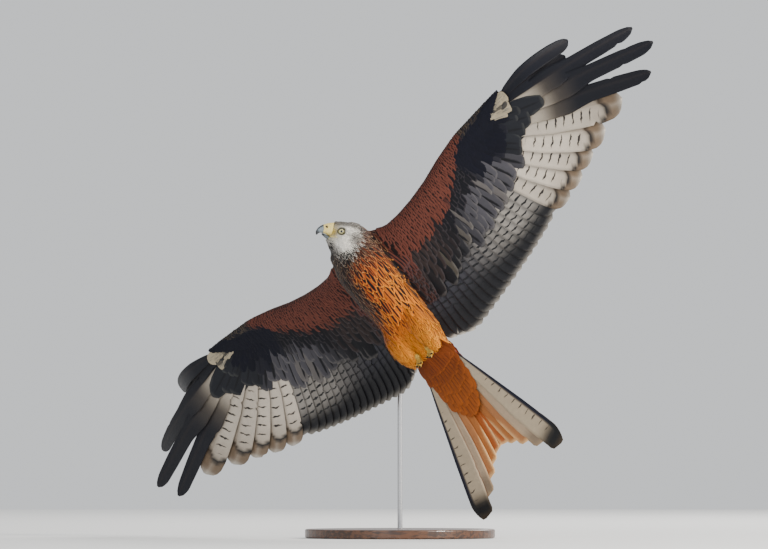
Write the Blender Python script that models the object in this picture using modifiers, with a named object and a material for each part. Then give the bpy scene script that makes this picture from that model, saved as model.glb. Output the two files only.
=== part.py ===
# A red kite soaring in a bank, life size, held by one rod on a round base.
# Metres, +Z up. The bird is shaped in its own axes: X to the bill, Y to its left
# wing, Z to its back. One empty turns and lifts it into its pose over the base.

import math

import bmesh
import bpy
from mathutils import Euler, Matrix, Vector

MM = 0.001
GAP = 0.3 * MM
CUTTER_REACH = 0.5

# Pose of the bird: where its own origin, between the shoulders, is carried,
# how steeply it climbs, which way it heads and how far it banks.
POSE_PLACE = (-0.083, -0.030, 0.565)
CLIMB_DEG = 51.4
HEADING_DEG = 168.0
BANK_DEG = 71.3

# Torso sections from the shoulders to the vent:
# place along the body, height of the middle, half width, half height.
TORSO_SECTIONS = (
    (22, -17, 20, 20),
    (12, -17, 41, 40),
    (-4, -17, 53, 52),
    (-40, -17, 57, 57),
    (-85, -15, 56, 54),
    (-130, -12, 55, 49),
    (-175, -9, 54, 43),
    (-215, -6, 51, 37),
    (-249, -3, 42, 28),
)
BODY_SIDES = 20

# Neck sections: middle, long half size, short half size.
NECK_SECTIONS = (
    ((-28, 0, -17), 47, 46),
    ((4, 4, -17), 51, 44),
    ((32.4, 11.4, -20), 49, 36),
    ((53, 7.4, -24), 37, 26),
    ((62, 6.4, -26), 25, 16),
)
NECK_LONG_AXIS = (0.18, -0.81, -0.56)
NECK_END_X = 4.0
HEAD_CUT_PLACE = (30.0, 12.0, -18.0)
HEAD_CUT_DIRECTION = (0.97, 0.24, -0.04)

# Head: kept level while the body banks, so it is turned on the neck.
HEAD_PLACE = (48, 11, -19)
HEAD_TURN_DEG = (-64.6, 23.6, -36.5)
# Sections along the head: place, half width, top, bottom.
HEAD_SECTIONS = (
    (-44, 8, 16, 0),
    (-38, 15, 20.5, -8),
    (-28, 20.5, 24, -17),
    (-14, 23.5, 26, -23),
    (-1, 24, 27.2, -25),
    (9, 21, 26.8, -26),
    (17, 16, 25.6, -27),
    (22, 12, 24.2, -26.5),
    (26, 9.5, -8, -25),
    (31, 7, -9, -21.5),
    (35, 4, -10, -16),
)
EYE_PLACE = (4.5, 16.6, 4.0)
EYE_RADIUS = 7.2
LID_RADIUS = 7.7
LID_THICKNESS = 1.4
BROW_PLACE = (5.5, 16.4, 12.4)
BROW_SIZE = (13.0, 5.6, 3.4)
GAPE_BACK = 7.0
GAPE_HEIGHT = -9.6

# Bill sections: place along, height, half width, half height, lean of the section.
BILL_SECTIONS = (
    (22.3, 7.5, 9.8, 15.0, 0),
    (30, 7.4, 8.6, 12.9, 0),
    (38, 6.4, 7.0, 9.9, 10),
    (44.6, 4.3, 5.4, 7.6, 25),
    (49.6, 0.9, 3.9, 5.1, 48),
    (52.4, -3.6, 2.4, 3.2, 72),
    (53.0, -8.0, 0.9, 1.1, 84),
)
JAW_SECTIONS = (
    (22.3, -12.0, 8.2, 4.6, 0),
    (30, -9.8, 6.8, 4.2, 0),
    (37, -7.2, 4.8, 3.3, 8),
    (43, -4.6, 2.4, 2.0, 12),
)
NOSTRIL_PLACE = (35.6, 7.0, 10.6)
NOSTRIL_SIZE = (2.4, 1.6, 1.2)
BILL_SIDES = 12

# Wing: how the line of the shoulders rises, and its leading edge:
# place out from the body, leading edge, depth of the fleshy arm, its thickness.
WING_STATIONS = (
    (20, 32, 130, 27),
    (54, 25, 124, 27),
    (84, 10, 106, 25),
    (120, 11, 104, 24),
    (160, 17, 103, 23),
    (205, 28, 102, 21),
    (252, 44, 100, 19),
    (312, 60, 92, 16),
    (370, 66, 58, 12),
    (410, 70, 34, 9),
    (438, 71, 16, 6),
)
BLADE_PROFILE = ((0, 0), (0.06, 0.56), (0.24, 1.0), (0.62, 0.74), (1.0, 0.44))
DIHEDRAL = 0.185
SHOULDER_Y = 50
DROOP_FROM_Y = 250
DROOP = 0.00011
CAMBER = 13
CAMBER_CHORD = 275
WRIST_GAP = 0.4 * MM
# Line that parts arm and hand, from the leading edge past the trailing edge.
WRIST_LINE = ((120, 309), (5, 309), (-300, 435))

# Flight feathers. Each blade leans about its shaft, outer edge up, so that it
# lies over its outer neighbour with clear air between.
VANE_THICK = 0.7
SECONDARY_COUNT = 18
SECONDARY_ROOTS = ((302, 70), (64, 84))
SECONDARY_TIPS = ((384, -187), (62, -279))
SECONDARY_TIP_BOW = 0.75
TERTIAL_FROM = 0.86
TERTIAL_SHORTENING = 25
SECONDARY_WIDTH = 46
SECONDARY_LEAN_DEG = 5.0
PRIMARY_ROOTS = ((320, -6), (422, 54))
PRIMARY_TIPS = (
    (421, -188), (468, -172), (515, -151), (567, -130), (635, -106),
    (719, -103), (754, -58), (716, -3), (575, 40), (590, 64),
)
PRIMARY_LIFTS = (0, 0, 0, 0, 0, 0, 16, 60, 44, 66)
PRIMARY_WIDTHS = (58, 58, 60, 64, 62, 50, 48, 46, 32, 30)
PRIMARY_BOWS = (0, 0, 0, 0, 2, 4, 4, 4, 7, 9)
PRIMARY_LEAN_DEG = 7.0
FINGER_FROM = 6
OUTER_SHARE = 0.36
COVERT_REACH = 0.48
PRIMARY_COVERT_REACH = 0.34
COVERT_WIDTH = 30
COVERT_LIFT_ABOVE = 5.0
COVERT_DROP_BELOW = -5.6
ALULA_TIPS = ((430, 60), (416, 51), (402, 42))
# Share of a blade's full width at places along it.
BLADE_SHAPE = ((0, 0.12), (0.2, 0.6), (0.45, 0.92), (0.82, 1.0), (0.95, 0.8), (1, 0.32))
FINGER_SHAPE = ((0, 0.12), (0.2, 0.7), (0.47, 1.0), (0.62, 0.66), (0.92, 0.56), (1, 0.22))
COVERT_SHAPE = ((0, 0.2), (0.4, 0.8), (0.8, 1.0), (1, 0.36))

# Tail: where it grows, how it is turned, and its feathers.
TAIL_PLACE = (-249.4, 0, -2)
TAIL_YAW_DEG = -3.3
TAIL_DROOP_DEG = 10.9
TAIL_SPREAD_DEG = 17.2
TAIL_ROOT_HALF = 33
TAIL_FEATHERS = 12
TAIL_OUTER_LENGTH = 340
TAIL_INNER_LENGTH = 238
TAIL_FORK_BOW = 1.9
TAIL_FEATHER_WIDTH = 44
TAIL_LAYER = 0.95
TAIL_VANE_THICK = 0.55
TAIL_TOP = 4.5
TAIL_ROOT_START = 16
TAIL_SHAPE = ((0, 0.15), (0.25, 0.55), (0.6, 0.92), (0.88, 1.0), (0.965, 0.66), (1, 0.18))
UNDERTAIL_COUNT = 7
UNDERTAIL_LENGTH = 158
UNDERTAIL_SPREAD_DEG = 8
UNDERTAIL_HEIGHT = -7.8
UPPERTAIL_COUNT = 6
UPPERTAIL_LENGTH = 112
UPPERTAIL_SPREAD_DEG = 11
UPPERTAIL_HEIGHT = 6.2
TAIL_COVERT_WIDTH = 34
TAIL_ROOT_SECTIONS = (
    (0, 38, 27),
    (-16, 45, 19),
    (-36, 48, 12),
    (-58, 44, 7.5),
)

# Legs, tucked up against the belly.
THIGH_SECTIONS = (
    ((-152, 29, -34), 20, 15),
    ((-190, 33, -38), 26, 20),
    ((-226, 33, -37), 22, 17),
    ((-254, 28, -34), 11, 9),
)
FOOT_PLACE = (-238, 16, -39)

# Stand
BASE_RADIUS = 0.19
BASE_THICKNESS = 0.018
BASE_BEVEL = 0.003
ROD_RADIUS = 0.005
ROD_FOOT_Y = 0.070
ROD_BEND_START_Z = 0.400
ROD_BEND_RADIUS = 0.085
ROD_BEND_DEG = 62
ROD_END_RUN = 0.060


def clear_scene():
    for item in list(bpy.data.objects):
        bpy.data.objects.remove(item, do_unlink=True)


def make_collection(name):
    group = bpy.data.collections.new(name)
    bpy.context.scene.collection.children.link(group)
    return group


def make_material(name, colour, roughness, metallic=0.0):
    material = bpy.data.materials.new(name)
    material.use_nodes = True
    shader = material.node_tree.nodes["Principled BSDF"]
    shader.inputs["Base Color"].default_value = (*colour, 1.0)
    shader.inputs["Roughness"].default_value = roughness
    shader.inputs["Metallic"].default_value = metallic
    material.diffuse_color = (*colour, 1.0)
    return material


def mm(point):
    return Vector(point) * MM


def rotated(angles):
    return Euler([math.radians(angle) for angle in angles]).to_matrix()


def oval(middle, side, up, half_width, top, bottom, count=BODY_SIDES):
    """One oval section, with its own rise above and drop below the middle."""
    points = []
    for index in range(count):
        angle = 2 * math.pi * index / count
        lift = top if math.sin(angle) > 0 else bottom
        points.append(middle + side * (half_width * math.cos(angle)) + up * (lift * math.sin(angle)))
    return points


def loft(name, rings, group):
    """A closed body through like rings of points, its two ends filled."""
    mesh = bpy.data.meshes.new(name)
    shape = bmesh.new()
    loops = [[shape.verts.new(point) for point in ring] for ring in rings]
    count = len(loops[0])
    for near, far in zip(loops, loops[1:]):
        for index in range(count):
            after = (index + 1) % count
            shape.faces.new((near[index], near[after], far[after]))
            shape.faces.new((near[index], far[after], far[index]))
    shape.faces.new(list(reversed(loops[0])))
    shape.faces.new(loops[-1])
    bmesh.ops.triangulate(shape, faces=[face for face in shape.faces if len(face.verts) > 3])
    bmesh.ops.recalc_face_normals(shape, faces=shape.faces)
    shape.to_mesh(mesh)
    shape.free()
    body = bpy.data.objects.new(name, mesh)
    group.objects.link(body)
    return body


def bake(body):
    """Make the modified mesh the object's own mesh."""
    bpy.context.view_layer.update()
    result = bpy.data.meshes.new_from_object(body.evaluated_get(bpy.context.evaluated_depsgraph_get()))
    body.modifiers.clear()
    body.data = result
    keep_largest(body)
    return body


def keep_largest(body):
    """Keep only the closed surface that holds the most."""
    shape = bmesh.new()
    shape.from_mesh(body.data)
    left = set(shape.verts)
    shells = []
    while left:
        shell = set()
        front = [left.pop()]
        while front:
            vertex = front.pop()
            shell.add(vertex)
            for edge in vertex.link_edges:
                other = edge.other_vert(vertex)
                if other in left:
                    left.discard(other)
                    front.append(other)
        shells.append(shell)

    def volume(shell):
        faces = {face for vertex in shell for face in vertex.link_faces}
        total = 0.0
        for face in faces:
            corners = [vertex.co for vertex in face.verts]
            for second, third in zip(corners[1:], corners[2:]):
                total += corners[0].dot(second.cross(third)) / 6
        return total

    shells.sort(key=volume, reverse=True)
    for shell in shells[1:]:
        bmesh.ops.delete(shape, geom=list(shell), context="VERTS")
    shape.to_mesh(body.data)
    shape.free()


def combine(body, others, operation, solver="EXACT"):
    """Join the others to a body, or cut them from it, in one Boolean, then drop them."""
    pool = bpy.data.collections.new(body.name + "_tools")
    bpy.context.scene.collection.children.link(pool)
    for other in others:
        for owner in list(other.users_collection):
            owner.objects.unlink(other)
        pool.objects.link(other)
    step = body.modifiers.new(operation.lower(), "BOOLEAN")
    step.operation = operation
    step.solver = solver
    step.operand_type = "COLLECTION"
    step.collection = pool
    bake(body)
    for other in list(pool.objects):
        bpy.data.objects.remove(other, do_unlink=True)
    bpy.data.collections.remove(pool)
    return body


def torso_loft(grow, group):
    rings = []
    last = len(TORSO_SECTIONS) - 1
    for index, (along, height, half_width, half_height) in enumerate(TORSO_SECTIONS):
        shift = grow if index == 0 else -grow if index == last else 0
        middle = Vector((along * MM + shift, 0, height * MM))
        wide = half_width * MM + grow
        tall = half_height * MM + grow
        rings.append(oval(middle, Vector((0, 1, 0)), Vector((0, 0, 1)), wide, tall, tall))
    return loft("torso_form", rings, group)


def neck_loft(grow, group):
    rings = []
    spine = [mm(section[0]) for section in NECK_SECTIONS]
    for index, (place, long_half, short_half) in enumerate(NECK_SECTIONS):
        ahead = spine[min(index + 1, len(spine) - 1)] - spine[max(index - 1, 0)]
        ahead.normalize()
        long_axis = Vector(NECK_LONG_AXIS)
        long_axis = (long_axis - ahead * long_axis.dot(ahead)).normalized()
        short_axis = ahead.cross(long_axis)
        tall = short_half * MM + grow
        rings.append(oval(spine[index], long_axis, short_axis, long_half * MM + grow, tall, tall))
    return loft("neck_form", rings, group)


def head_frame():
    turn = Euler([math.radians(angle) for angle in HEAD_TURN_DEG]).to_matrix().to_4x4()
    return Matrix.Translation(mm(HEAD_PLACE)) @ turn


def head_loft(grow, group):
    rings = []
    frame = head_frame()
    turn = frame.to_3x3()
    for along, half_width, top, bottom in HEAD_SECTIONS:
        middle = frame @ Vector((along * MM, 0, 0))
        side = turn @ Vector((0, 1, 0))
        up = turn @ Vector((0, 0, 1))
        rings.append(oval(middle, side, up, half_width * MM + grow, top * MM + grow, -bottom * MM + grow))
    return loft("head_form", rings, group)


def body_core(grow, group):
    """Torso, neck and head as one closed form, made larger all over by grow."""
    core = torso_loft(grow, group)
    return combine(core, [neck_loft(grow, group), head_loft(grow, group)], "UNION")


def half_space(place, direction, group):
    """A large block whose near face passes through a place, on the side of a direction."""
    bpy.ops.mesh.primitive_cube_add(size=2 * CUTTER_REACH)
    block = bpy.context.object
    for owner in list(block.users_collection):
        owner.objects.unlink(block)
    group.objects.link(block)
    ahead = Vector(direction).normalized()
    block.matrix_world = Matrix.Translation(Vector(place) + ahead * CUTTER_REACH) @ (
        ahead.to_track_quat("X", "Z").to_matrix().to_4x4()
    )
    return block


def ellipsoid(frame, place, size, turn, group, segments=14, rings=8):
    bpy.ops.mesh.primitive_uv_sphere_add(segments=segments, ring_count=rings, radius=1)
    ball = bpy.context.object
    for owner in list(ball.users_collection):
        owner.objects.unlink(ball)
    group.objects.link(ball)
    scale = Matrix.Diagonal((*[value * MM for value in size], 1))
    ball.data.transform(frame @ Matrix.Translation(mm(place)) @ rotated(turn).to_4x4() @ scale)
    return ball


def lid(frame, side, group):
    bpy.ops.mesh.primitive_torus_add(
        major_segments=16,
        minor_segments=6,
        major_radius=LID_RADIUS * MM,
        minor_radius=LID_THICKNESS * MM,
    )
    rim = bpy.context.object
    for owner in list(rim.users_collection):
        owner.objects.unlink(rim)
    group.objects.link(rim)
    place = mm((EYE_PLACE[0], side * (EYE_PLACE[1] + 3.0), EYE_PLACE[2]))
    rim.data.transform(frame @ Matrix.Translation(place) @ rotated((90, 0, side * -8)).to_4x4())
    return rim


def gape_cutter(frame, side, group):
    """A thin blade that draws the line of the mouth back under the eye."""
    thin = Matrix.Diagonal((8 * MM, 2.6 * MM, 0.5 * MM, 1))
    bpy.ops.mesh.primitive_cube_add(size=2)
    blade = bpy.context.object
    for owner in list(blade.users_collection):
        owner.objects.unlink(blade)
    group.objects.link(blade)
    middle = mm((GAPE_BACK + 8, side * 16.5, GAPE_HEIGHT))
    blade.data.transform(frame @ Matrix.Translation(middle) @ rotated((0, 0, side * -35)).to_4x4() @ thin)
    return blade


def wing_span(y):
    """Height of the wing above the shoulders at a place out along it."""
    out = max(0.0, y - SHOULDER_Y)
    return DIHEDRAL * out - DROOP * max(0.0, y - DROOP_FROM_Y) ** 2


def wing_station(y):
    """Leading edge, depth of the arm and its thickness at a place out along the wing."""
    previous = WING_STATIONS[0]
    for station in WING_STATIONS[1:]:
        if y <= station[0]:
            part = max(0.0, (y - previous[0]) / (station[0] - previous[0]))
            return tuple(a + (b - a) * part for a, b in zip(previous[1:], station[1:]))
        previous = station
    return previous[1:]


def wing_height(x, y):
    """The wing's middle surface: its lift along the span, arched from front to back."""
    part = min(1.0, max(0.0, (wing_station(y)[0] - x) / CAMBER_CHORD))
    arch = CAMBER * max(0.3, 1 - y / 900)
    return wing_span(y) + 4 * arch * part * (1 - part)


def wing_blade(name, side, group):
    """The fleshy arm and hand, from the leading edge to where the feathers grow."""
    rings = []
    for y, front, depth, thick in WING_STATIONS:
        top = [(front - depth * part, thick * rise / 2) for part, rise in BLADE_PROFILE]
        under = [(front - depth * part, -thick * rise / 2) for part, rise in BLADE_PROFILE[:0:-1]]
        rings.append([mm((x, side * y, wing_height(x, y) + lift)) for x, lift in top + under])
    return loft(name, rings, group)


def vane(name, stations, lean_deg, thick, side, group):
    """A feather's blade: its two faces are split into the same triangles.

    Each station is a point on the shaft with the outer and the inner width there.
    """
    shape = bmesh.new()
    mesh = bpy.data.meshes.new(name)
    lean = math.radians(lean_deg)
    loops = []
    last = len(stations) - 1
    for index, (point, outer, inner) in enumerate(stations):
        ahead = stations[min(index + 1, last)][0] - stations[max(index - 1, 0)][0]
        ahead.normalize()
        across = ahead.cross(Vector((0, 0, 1))).normalized()
        rise = across.cross(ahead)
        edge = across * math.cos(lean) + rise * math.sin(lean)
        over = rise * math.cos(lean) - across * math.sin(lean)
        half = over * (thick / 2)
        corners = (
            point + edge * outer + half,
            point - edge * inner + half,
            point - edge * inner - half,
            point + edge * outer - half,
        )
        loops.append([shape.verts.new(Vector((c.x, side * c.y, c.z)) * MM) for c in corners])
    for near, far in zip(loops, loops[1:]):
        shape.faces.new((near[0], near[1], far[1]))
        shape.faces.new((near[0], far[1], far[0]))
        shape.faces.new((near[3], far[2], near[2]))
        shape.faces.new((near[3], far[3], far[2]))
        shape.faces.new((near[1], near[2], far[2]))
        shape.faces.new((near[1], far[2], far[1]))
        shape.faces.new((near[3], near[0], far[0]))
        shape.faces.new((near[3], far[0], far[3]))
    for loop in (loops[0], loops[-1]):
        shape.faces.new((loop[0], loop[1], loop[2]))
        shape.faces.new((loop[0], loop[2], loop[3]))
    bmesh.ops.recalc_face_normals(shape, faces=shape.faces)
    shape.to_mesh(mesh)
    shape.free()
    blade = bpy.data.objects.new(name, mesh)
    group.objects.link(blade)
    return blade


def wing_feather(name, root, tip, shape, width, lean_deg, side, group,
                 lifts=(0, 0), bend=0, reach=1.0, bow=0):
    """A feather on the wing's surface from its root to its tip, both (out, forward)."""
    stations = []
    for along, share in shape:
        part = along * reach
        y = root[0] + (tip[0] - root[0]) * part
        x = root[1] + (tip[1] - root[1]) * part + 4 * bow * part * (1 - part)
        lift = lifts[0] + (lifts[1] - lifts[0]) * along
        curl = bend * max(0.0, (part - 0.4) / 0.6) ** 2
        point = Vector((x, y, wing_height(x, y) + lift + curl))
        stations.append((point, width * share * OUTER_SHARE, width * share * (1 - OUTER_SHARE)))
    return vane(name, stations, lean_deg, VANE_THICK, side, group)


def secondary_line(place):
    """Root and tip of a secondary, counted from the wrist inward."""
    part = place / (SECONDARY_COUNT - 1)
    root_y = SECONDARY_ROOTS[0][0] + (SECONDARY_ROOTS[1][0] - SECONDARY_ROOTS[0][0]) * part
    behind = SECONDARY_ROOTS[0][1] + (SECONDARY_ROOTS[1][1] - SECONDARY_ROOTS[0][1]) * part
    root = (root_y, wing_station(root_y)[0] - behind)
    tip_y = SECONDARY_TIPS[0][0] + (SECONDARY_TIPS[1][0] - SECONDARY_TIPS[0][0]) * part
    bow = max(0.0, part) ** SECONDARY_TIP_BOW
    tip_x = SECONDARY_TIPS[0][1] + (SECONDARY_TIPS[1][1] - SECONDARY_TIPS[0][1]) * bow
    tip_x += TERTIAL_SHORTENING * max(0.0, part - TERTIAL_FROM) / (1 - TERTIAL_FROM)
    return root, (tip_y, tip_x)


def primary_line(index):
    """Root and tip of a primary, counted from the wrist outward."""
    part = index / (len(PRIMARY_TIPS) - 1)
    root = tuple(a + (b - a) * part for a, b in zip(*PRIMARY_ROOTS))
    return root, PRIMARY_TIPS[index]


def arm_feathers(side, group):
    """Secondaries and tertials, with a tier of greater coverts above and below."""
    feathers = []
    for index in range(SECONDARY_COUNT):
        root, tip = secondary_line(index)
        width = SECONDARY_WIDTH * (1 - 0.25 * (index / (SECONDARY_COUNT - 1)) ** 4)
        lean = SECONDARY_LEAN_DEG
        feathers.append(wing_feather("secondary", root, tip, BLADE_SHAPE, width, lean, side, group))
    for index in range(SECONDARY_COUNT - 2):
        root, tip = secondary_line(index + 0.5)
        for lifts in ((1.8, COVERT_LIFT_ABOVE), (-1.8, COVERT_DROP_BELOW)):
            feathers.append(wing_feather("covert", root, tip, COVERT_SHAPE, COVERT_WIDTH, SECONDARY_LEAN_DEG,
                                         side, group, lifts, reach=COVERT_REACH))
    return feathers


def hand_feathers(side, group):
    """Primaries, the outer ones narrowed to fingers, their coverts and the alula."""
    feathers = []
    for index, (lift, width, bow) in enumerate(zip(PRIMARY_LIFTS, PRIMARY_WIDTHS, PRIMARY_BOWS)):
        root, tip = primary_line(index)
        shape = BLADE_SHAPE if index + 1 < FINGER_FROM or index > 7 else FINGER_SHAPE
        feathers.append(wing_feather("primary", root, tip, shape, width, PRIMARY_LEAN_DEG, side, group,
                                     bend=lift, bow=bow))
        reach = PRIMARY_COVERT_REACH if index < 8 else 0.55
        for lifts in ((1.2, 4.6), (-1.2, -5.0)):
            feathers.append(wing_feather("covert", root, tip, COVERT_SHAPE, 20, PRIMARY_LEAN_DEG,
                                         side, group, lifts, reach=reach, bow=bow))
    for index, tip in enumerate(ALULA_TIPS):
        root = (322, tip[1] - 2)
        feathers.append(wing_feather("alula", root, tip, COVERT_SHAPE, 17, PRIMARY_LEAN_DEG, side, group,
                                     (3.4, 8.0 + index)))
    return feathers


def wrist_cutter(name, side, outer, group):
    """A tall prism on one side of the line that parts arm and hand."""
    edge = -WRIST_GAP / 2 if outer else WRIST_GAP / 2
    far = 0.9 if outer else -0.3
    line = [Vector((x * MM, y * MM + edge, 0)) for x, y in WRIST_LINE]
    outline = line + [Vector((line[-1].x, far, 0)), Vector((line[0].x, far, 0))]
    rings = []
    for height in (-0.3, 0.4):
        rings.append([Vector((point.x, side * point.y, height)) for point in outline])
    return loft(name, rings, group)


def tail_frame():
    turn = rotated((0, -TAIL_DROOP_DEG, 0))
    return Matrix.Translation(mm(TAIL_PLACE)) @ (rotated((0, 0, TAIL_YAW_DEG)) @ turn).to_4x4()


def tail_root(group):
    rings = []
    for index, (along, half_width, half_height) in enumerate(TAIL_ROOT_SECTIONS):
        frame = tail_frame() if index else Matrix.Translation(mm(TAIL_PLACE))
        turn = frame.to_3x3()
        middle = frame @ mm((along, 0, 0))
        side = turn @ Vector((0, 1, 0))
        up = turn @ Vector((0, 0, 1))
        rings.append(oval(middle, side, up, half_width * MM, half_height * MM, half_height * MM, 16))
    return loft("tail", rings, group)


def tail_feather(name, part, spread_deg, length, width, outer_share, height, side, group):
    """A feather of the fan in its own level, part 0 at the middle and 1 at the edge."""
    frame = tail_frame()
    angle = math.radians(spread_deg * part)
    stations = []
    for along, share in TAIL_SHAPE:
        run = TAIL_ROOT_START + (length - TAIL_ROOT_START) * along
        across = TAIL_ROOT_HALF * part + run * math.sin(angle)
        point = Vector((-run * math.cos(angle), across, height))
        outer = width * share * outer_share
        stations.append((point, outer, width * share - outer))
    blade = vane(name, stations, 0, TAIL_VANE_THICK, side, group)
    blade.data.transform(frame)
    return blade


def tail_feathers(group):
    """Twelve feathers, the middle pair on top, with coverts above and below."""
    feathers = []
    pairs = TAIL_FEATHERS // 2
    for pair in range(pairs):
        part = (pair + 0.5) / (pairs - 0.5)
        length = TAIL_INNER_LENGTH + (TAIL_OUTER_LENGTH - TAIL_INNER_LENGTH) * part ** TAIL_FORK_BOW
        outer_share = 0.45 - 0.25 * part
        for side in (1, -1):
            level = TAIL_TOP - TAIL_LAYER * (2 * pair + (side < 0))
            feathers.append(tail_feather("rectrix", part, TAIL_SPREAD_DEG, length, TAIL_FEATHER_WIDTH,
                                         outer_share, level, side, group))
    tiers = (
        (UNDERTAIL_COUNT, UNDERTAIL_LENGTH, UNDERTAIL_SPREAD_DEG, UNDERTAIL_HEIGHT, -TAIL_LAYER),
        (UPPERTAIL_COUNT, UPPERTAIL_LENGTH, UPPERTAIL_SPREAD_DEG, UPPERTAIL_HEIGHT, TAIL_LAYER),
    )
    for count, length, spread, height, layer in tiers:
        order = sorted(range(count), key=lambda place: -abs(place - (count - 1) / 2))
        for level, place in enumerate(order):
            part = place / (count - 1) * 2 - 1
            side = 1 if part >= 0 else -1
            run = length * (1 - 0.28 * abs(part))
            feathers.append(tail_feather("covert", abs(part), spread, run, TAIL_COVERT_WIDTH, 0.5,
                                         height + layer * level, side, group))
    return feathers


def thigh(name, side, grow, group):
    rings = []
    for place, half_width, half_height in THIGH_SECTIONS:
        middle = mm((place[0], side * place[1], place[2]))
        if len(rings) == len(THIGH_SECTIONS) - 1:
            middle.x -= grow
        wide = half_width * MM + grow
        tall = half_height * MM + grow
        rings.append(oval(middle, Vector((0, 1, 0)), Vector((0, 0, 1)), wide, tall, tall, 12))
    return loft(name, rings, group)


def toe(name, root, heading, curl, length, radius, group, claw_length=13):
    """A toe bent down along its length, with its claw at the end."""
    rings = []
    place = Vector(root)
    turn = math.radians(heading)
    steps = 6
    pitch = math.radians(-4)
    outward = Vector((-math.cos(turn), math.sin(turn), 0))
    for index in range(steps + 4):
        claw = index >= steps
        along = (index - steps) / 3 if claw else index / steps
        size = radius * (0.62 - 0.56 * along) if claw else radius * (1 - 0.25 * along)
        ahead = outward * math.cos(pitch) + Vector((0, 0, 1)) * math.sin(pitch)
        side = Vector((math.sin(turn), math.cos(turn), 0))
        up = side.cross(ahead).normalized()
        rings.append(oval(place * MM, side, up, size * MM, size * MM, size * MM, 8))
        stride = claw_length / 3 if claw else length / steps
        place = place + ahead * stride
        pitch += math.radians(curl / 3 if claw else curl / steps)
    return loft(name, rings, group)


def foot(name, side, group):
    """A closed foot: three toes ahead, one behind, each with its claw."""
    centre = Vector((FOOT_PLACE[0], side * FOOT_PLACE[1], FOOT_PLACE[2]))
    palm = ellipsoid(Matrix(), centre, (8, 6.5, 5.5), (0, 0, 0), group, 12, 8)
    palm.name = name
    palm.data.name = name
    toes = []
    for number, (heading, length) in enumerate(((-22, 22), (0, 26), (22, 22), (180, 12))):
        curl = -70 if number < 3 else 60
        toes.append(toe("toe", centre, side * heading, curl, length, 3.6, group))
    return combine(palm, toes, "UNION")


def stand_rod(group):
    curve = bpy.data.curves.new("stand_rod", "CURVE")
    curve.dimensions = "3D"
    curve.bevel_depth = ROD_RADIUS
    curve.bevel_resolution = 3
    curve.use_fill_caps = True
    points = [Vector((0, ROD_FOOT_Y, BASE_THICKNESS + GAP)), Vector((0, ROD_FOOT_Y, ROD_BEND_START_Z))]
    centre = Vector((0, ROD_FOOT_Y - ROD_BEND_RADIUS, ROD_BEND_START_Z))
    steps = 8
    for index in range(1, steps + 1):
        angle = math.radians(ROD_BEND_DEG) * index / steps
        points.append(centre + ROD_BEND_RADIUS * Vector((0, math.cos(angle), math.sin(angle))))
    final = math.radians(ROD_BEND_DEG)
    points.append(points[-1] + ROD_END_RUN * Vector((0, -math.sin(final), math.cos(final))))
    spline = curve.splines.new("POLY")
    spline.points.add(len(points) - 1)
    for target, point in zip(spline.points, points):
        target.co = (*point, 1)
    guide = bpy.data.objects.new("rod_path", curve)
    group.objects.link(guide)
    bpy.context.view_layer.update()
    evaluated = guide.evaluated_get(bpy.context.evaluated_depsgraph_get())
    mesh = bpy.data.meshes.new_from_object(evaluated)
    shape = bmesh.new()
    shape.from_mesh(mesh)
    bmesh.ops.remove_doubles(shape, verts=shape.verts, dist=0.00001)
    bmesh.ops.recalc_face_normals(shape, faces=shape.faces)
    shape.to_mesh(mesh)
    shape.free()
    rod = bpy.data.objects.new("stand_rod", mesh)
    group.objects.link(rod)
    bpy.data.objects.remove(guide, do_unlink=True)
    return rod


def stand_base(group):
    bpy.ops.mesh.primitive_cylinder_add(
        vertices=64, radius=BASE_RADIUS, depth=BASE_THICKNESS, location=(0, 0, BASE_THICKNESS / 2)
    )
    base = bpy.context.object
    for owner in list(base.users_collection):
        owner.objects.unlink(base)
    group.objects.link(base)
    base.name = "stand_base"
    base.data.name = "stand_base"
    rim = base.modifiers.new("rounded_rim", "BEVEL")
    rim.width = BASE_BEVEL
    rim.segments = 3
    rim.limit_method = "ANGLE"
    return base


def copy_of(body, name, group):
    twin = bpy.data.objects.new(name, body.data.copy())
    twin.matrix_world = body.matrix_world.copy()
    group.objects.link(twin)
    return twin


def finish_node(body, name, material, pose):
    body.name = name
    body.data.name = name
    body.data.materials.clear()
    body.data.materials.append(material)
    body.data.shade_smooth()
    body.data.set_sharp_from_angle(angle=math.radians(40))
    if pose is not None:
        body.parent = pose


def bill_rings(sections, frame, grow):
    rings = []
    turn = frame.to_3x3()
    for along, height, half_width, half_height, lean in sections:
        angle = math.radians(lean)
        middle = frame @ mm((along, 0, height))
        up = turn @ Vector((math.sin(angle), 0, math.cos(angle)))
        side = turn @ Vector((0, 1, 0))
        tall = half_height * MM + grow
        rings.append(oval(middle, side, up, half_width * MM + grow, tall, tall, BILL_SIDES))
    return rings


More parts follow.
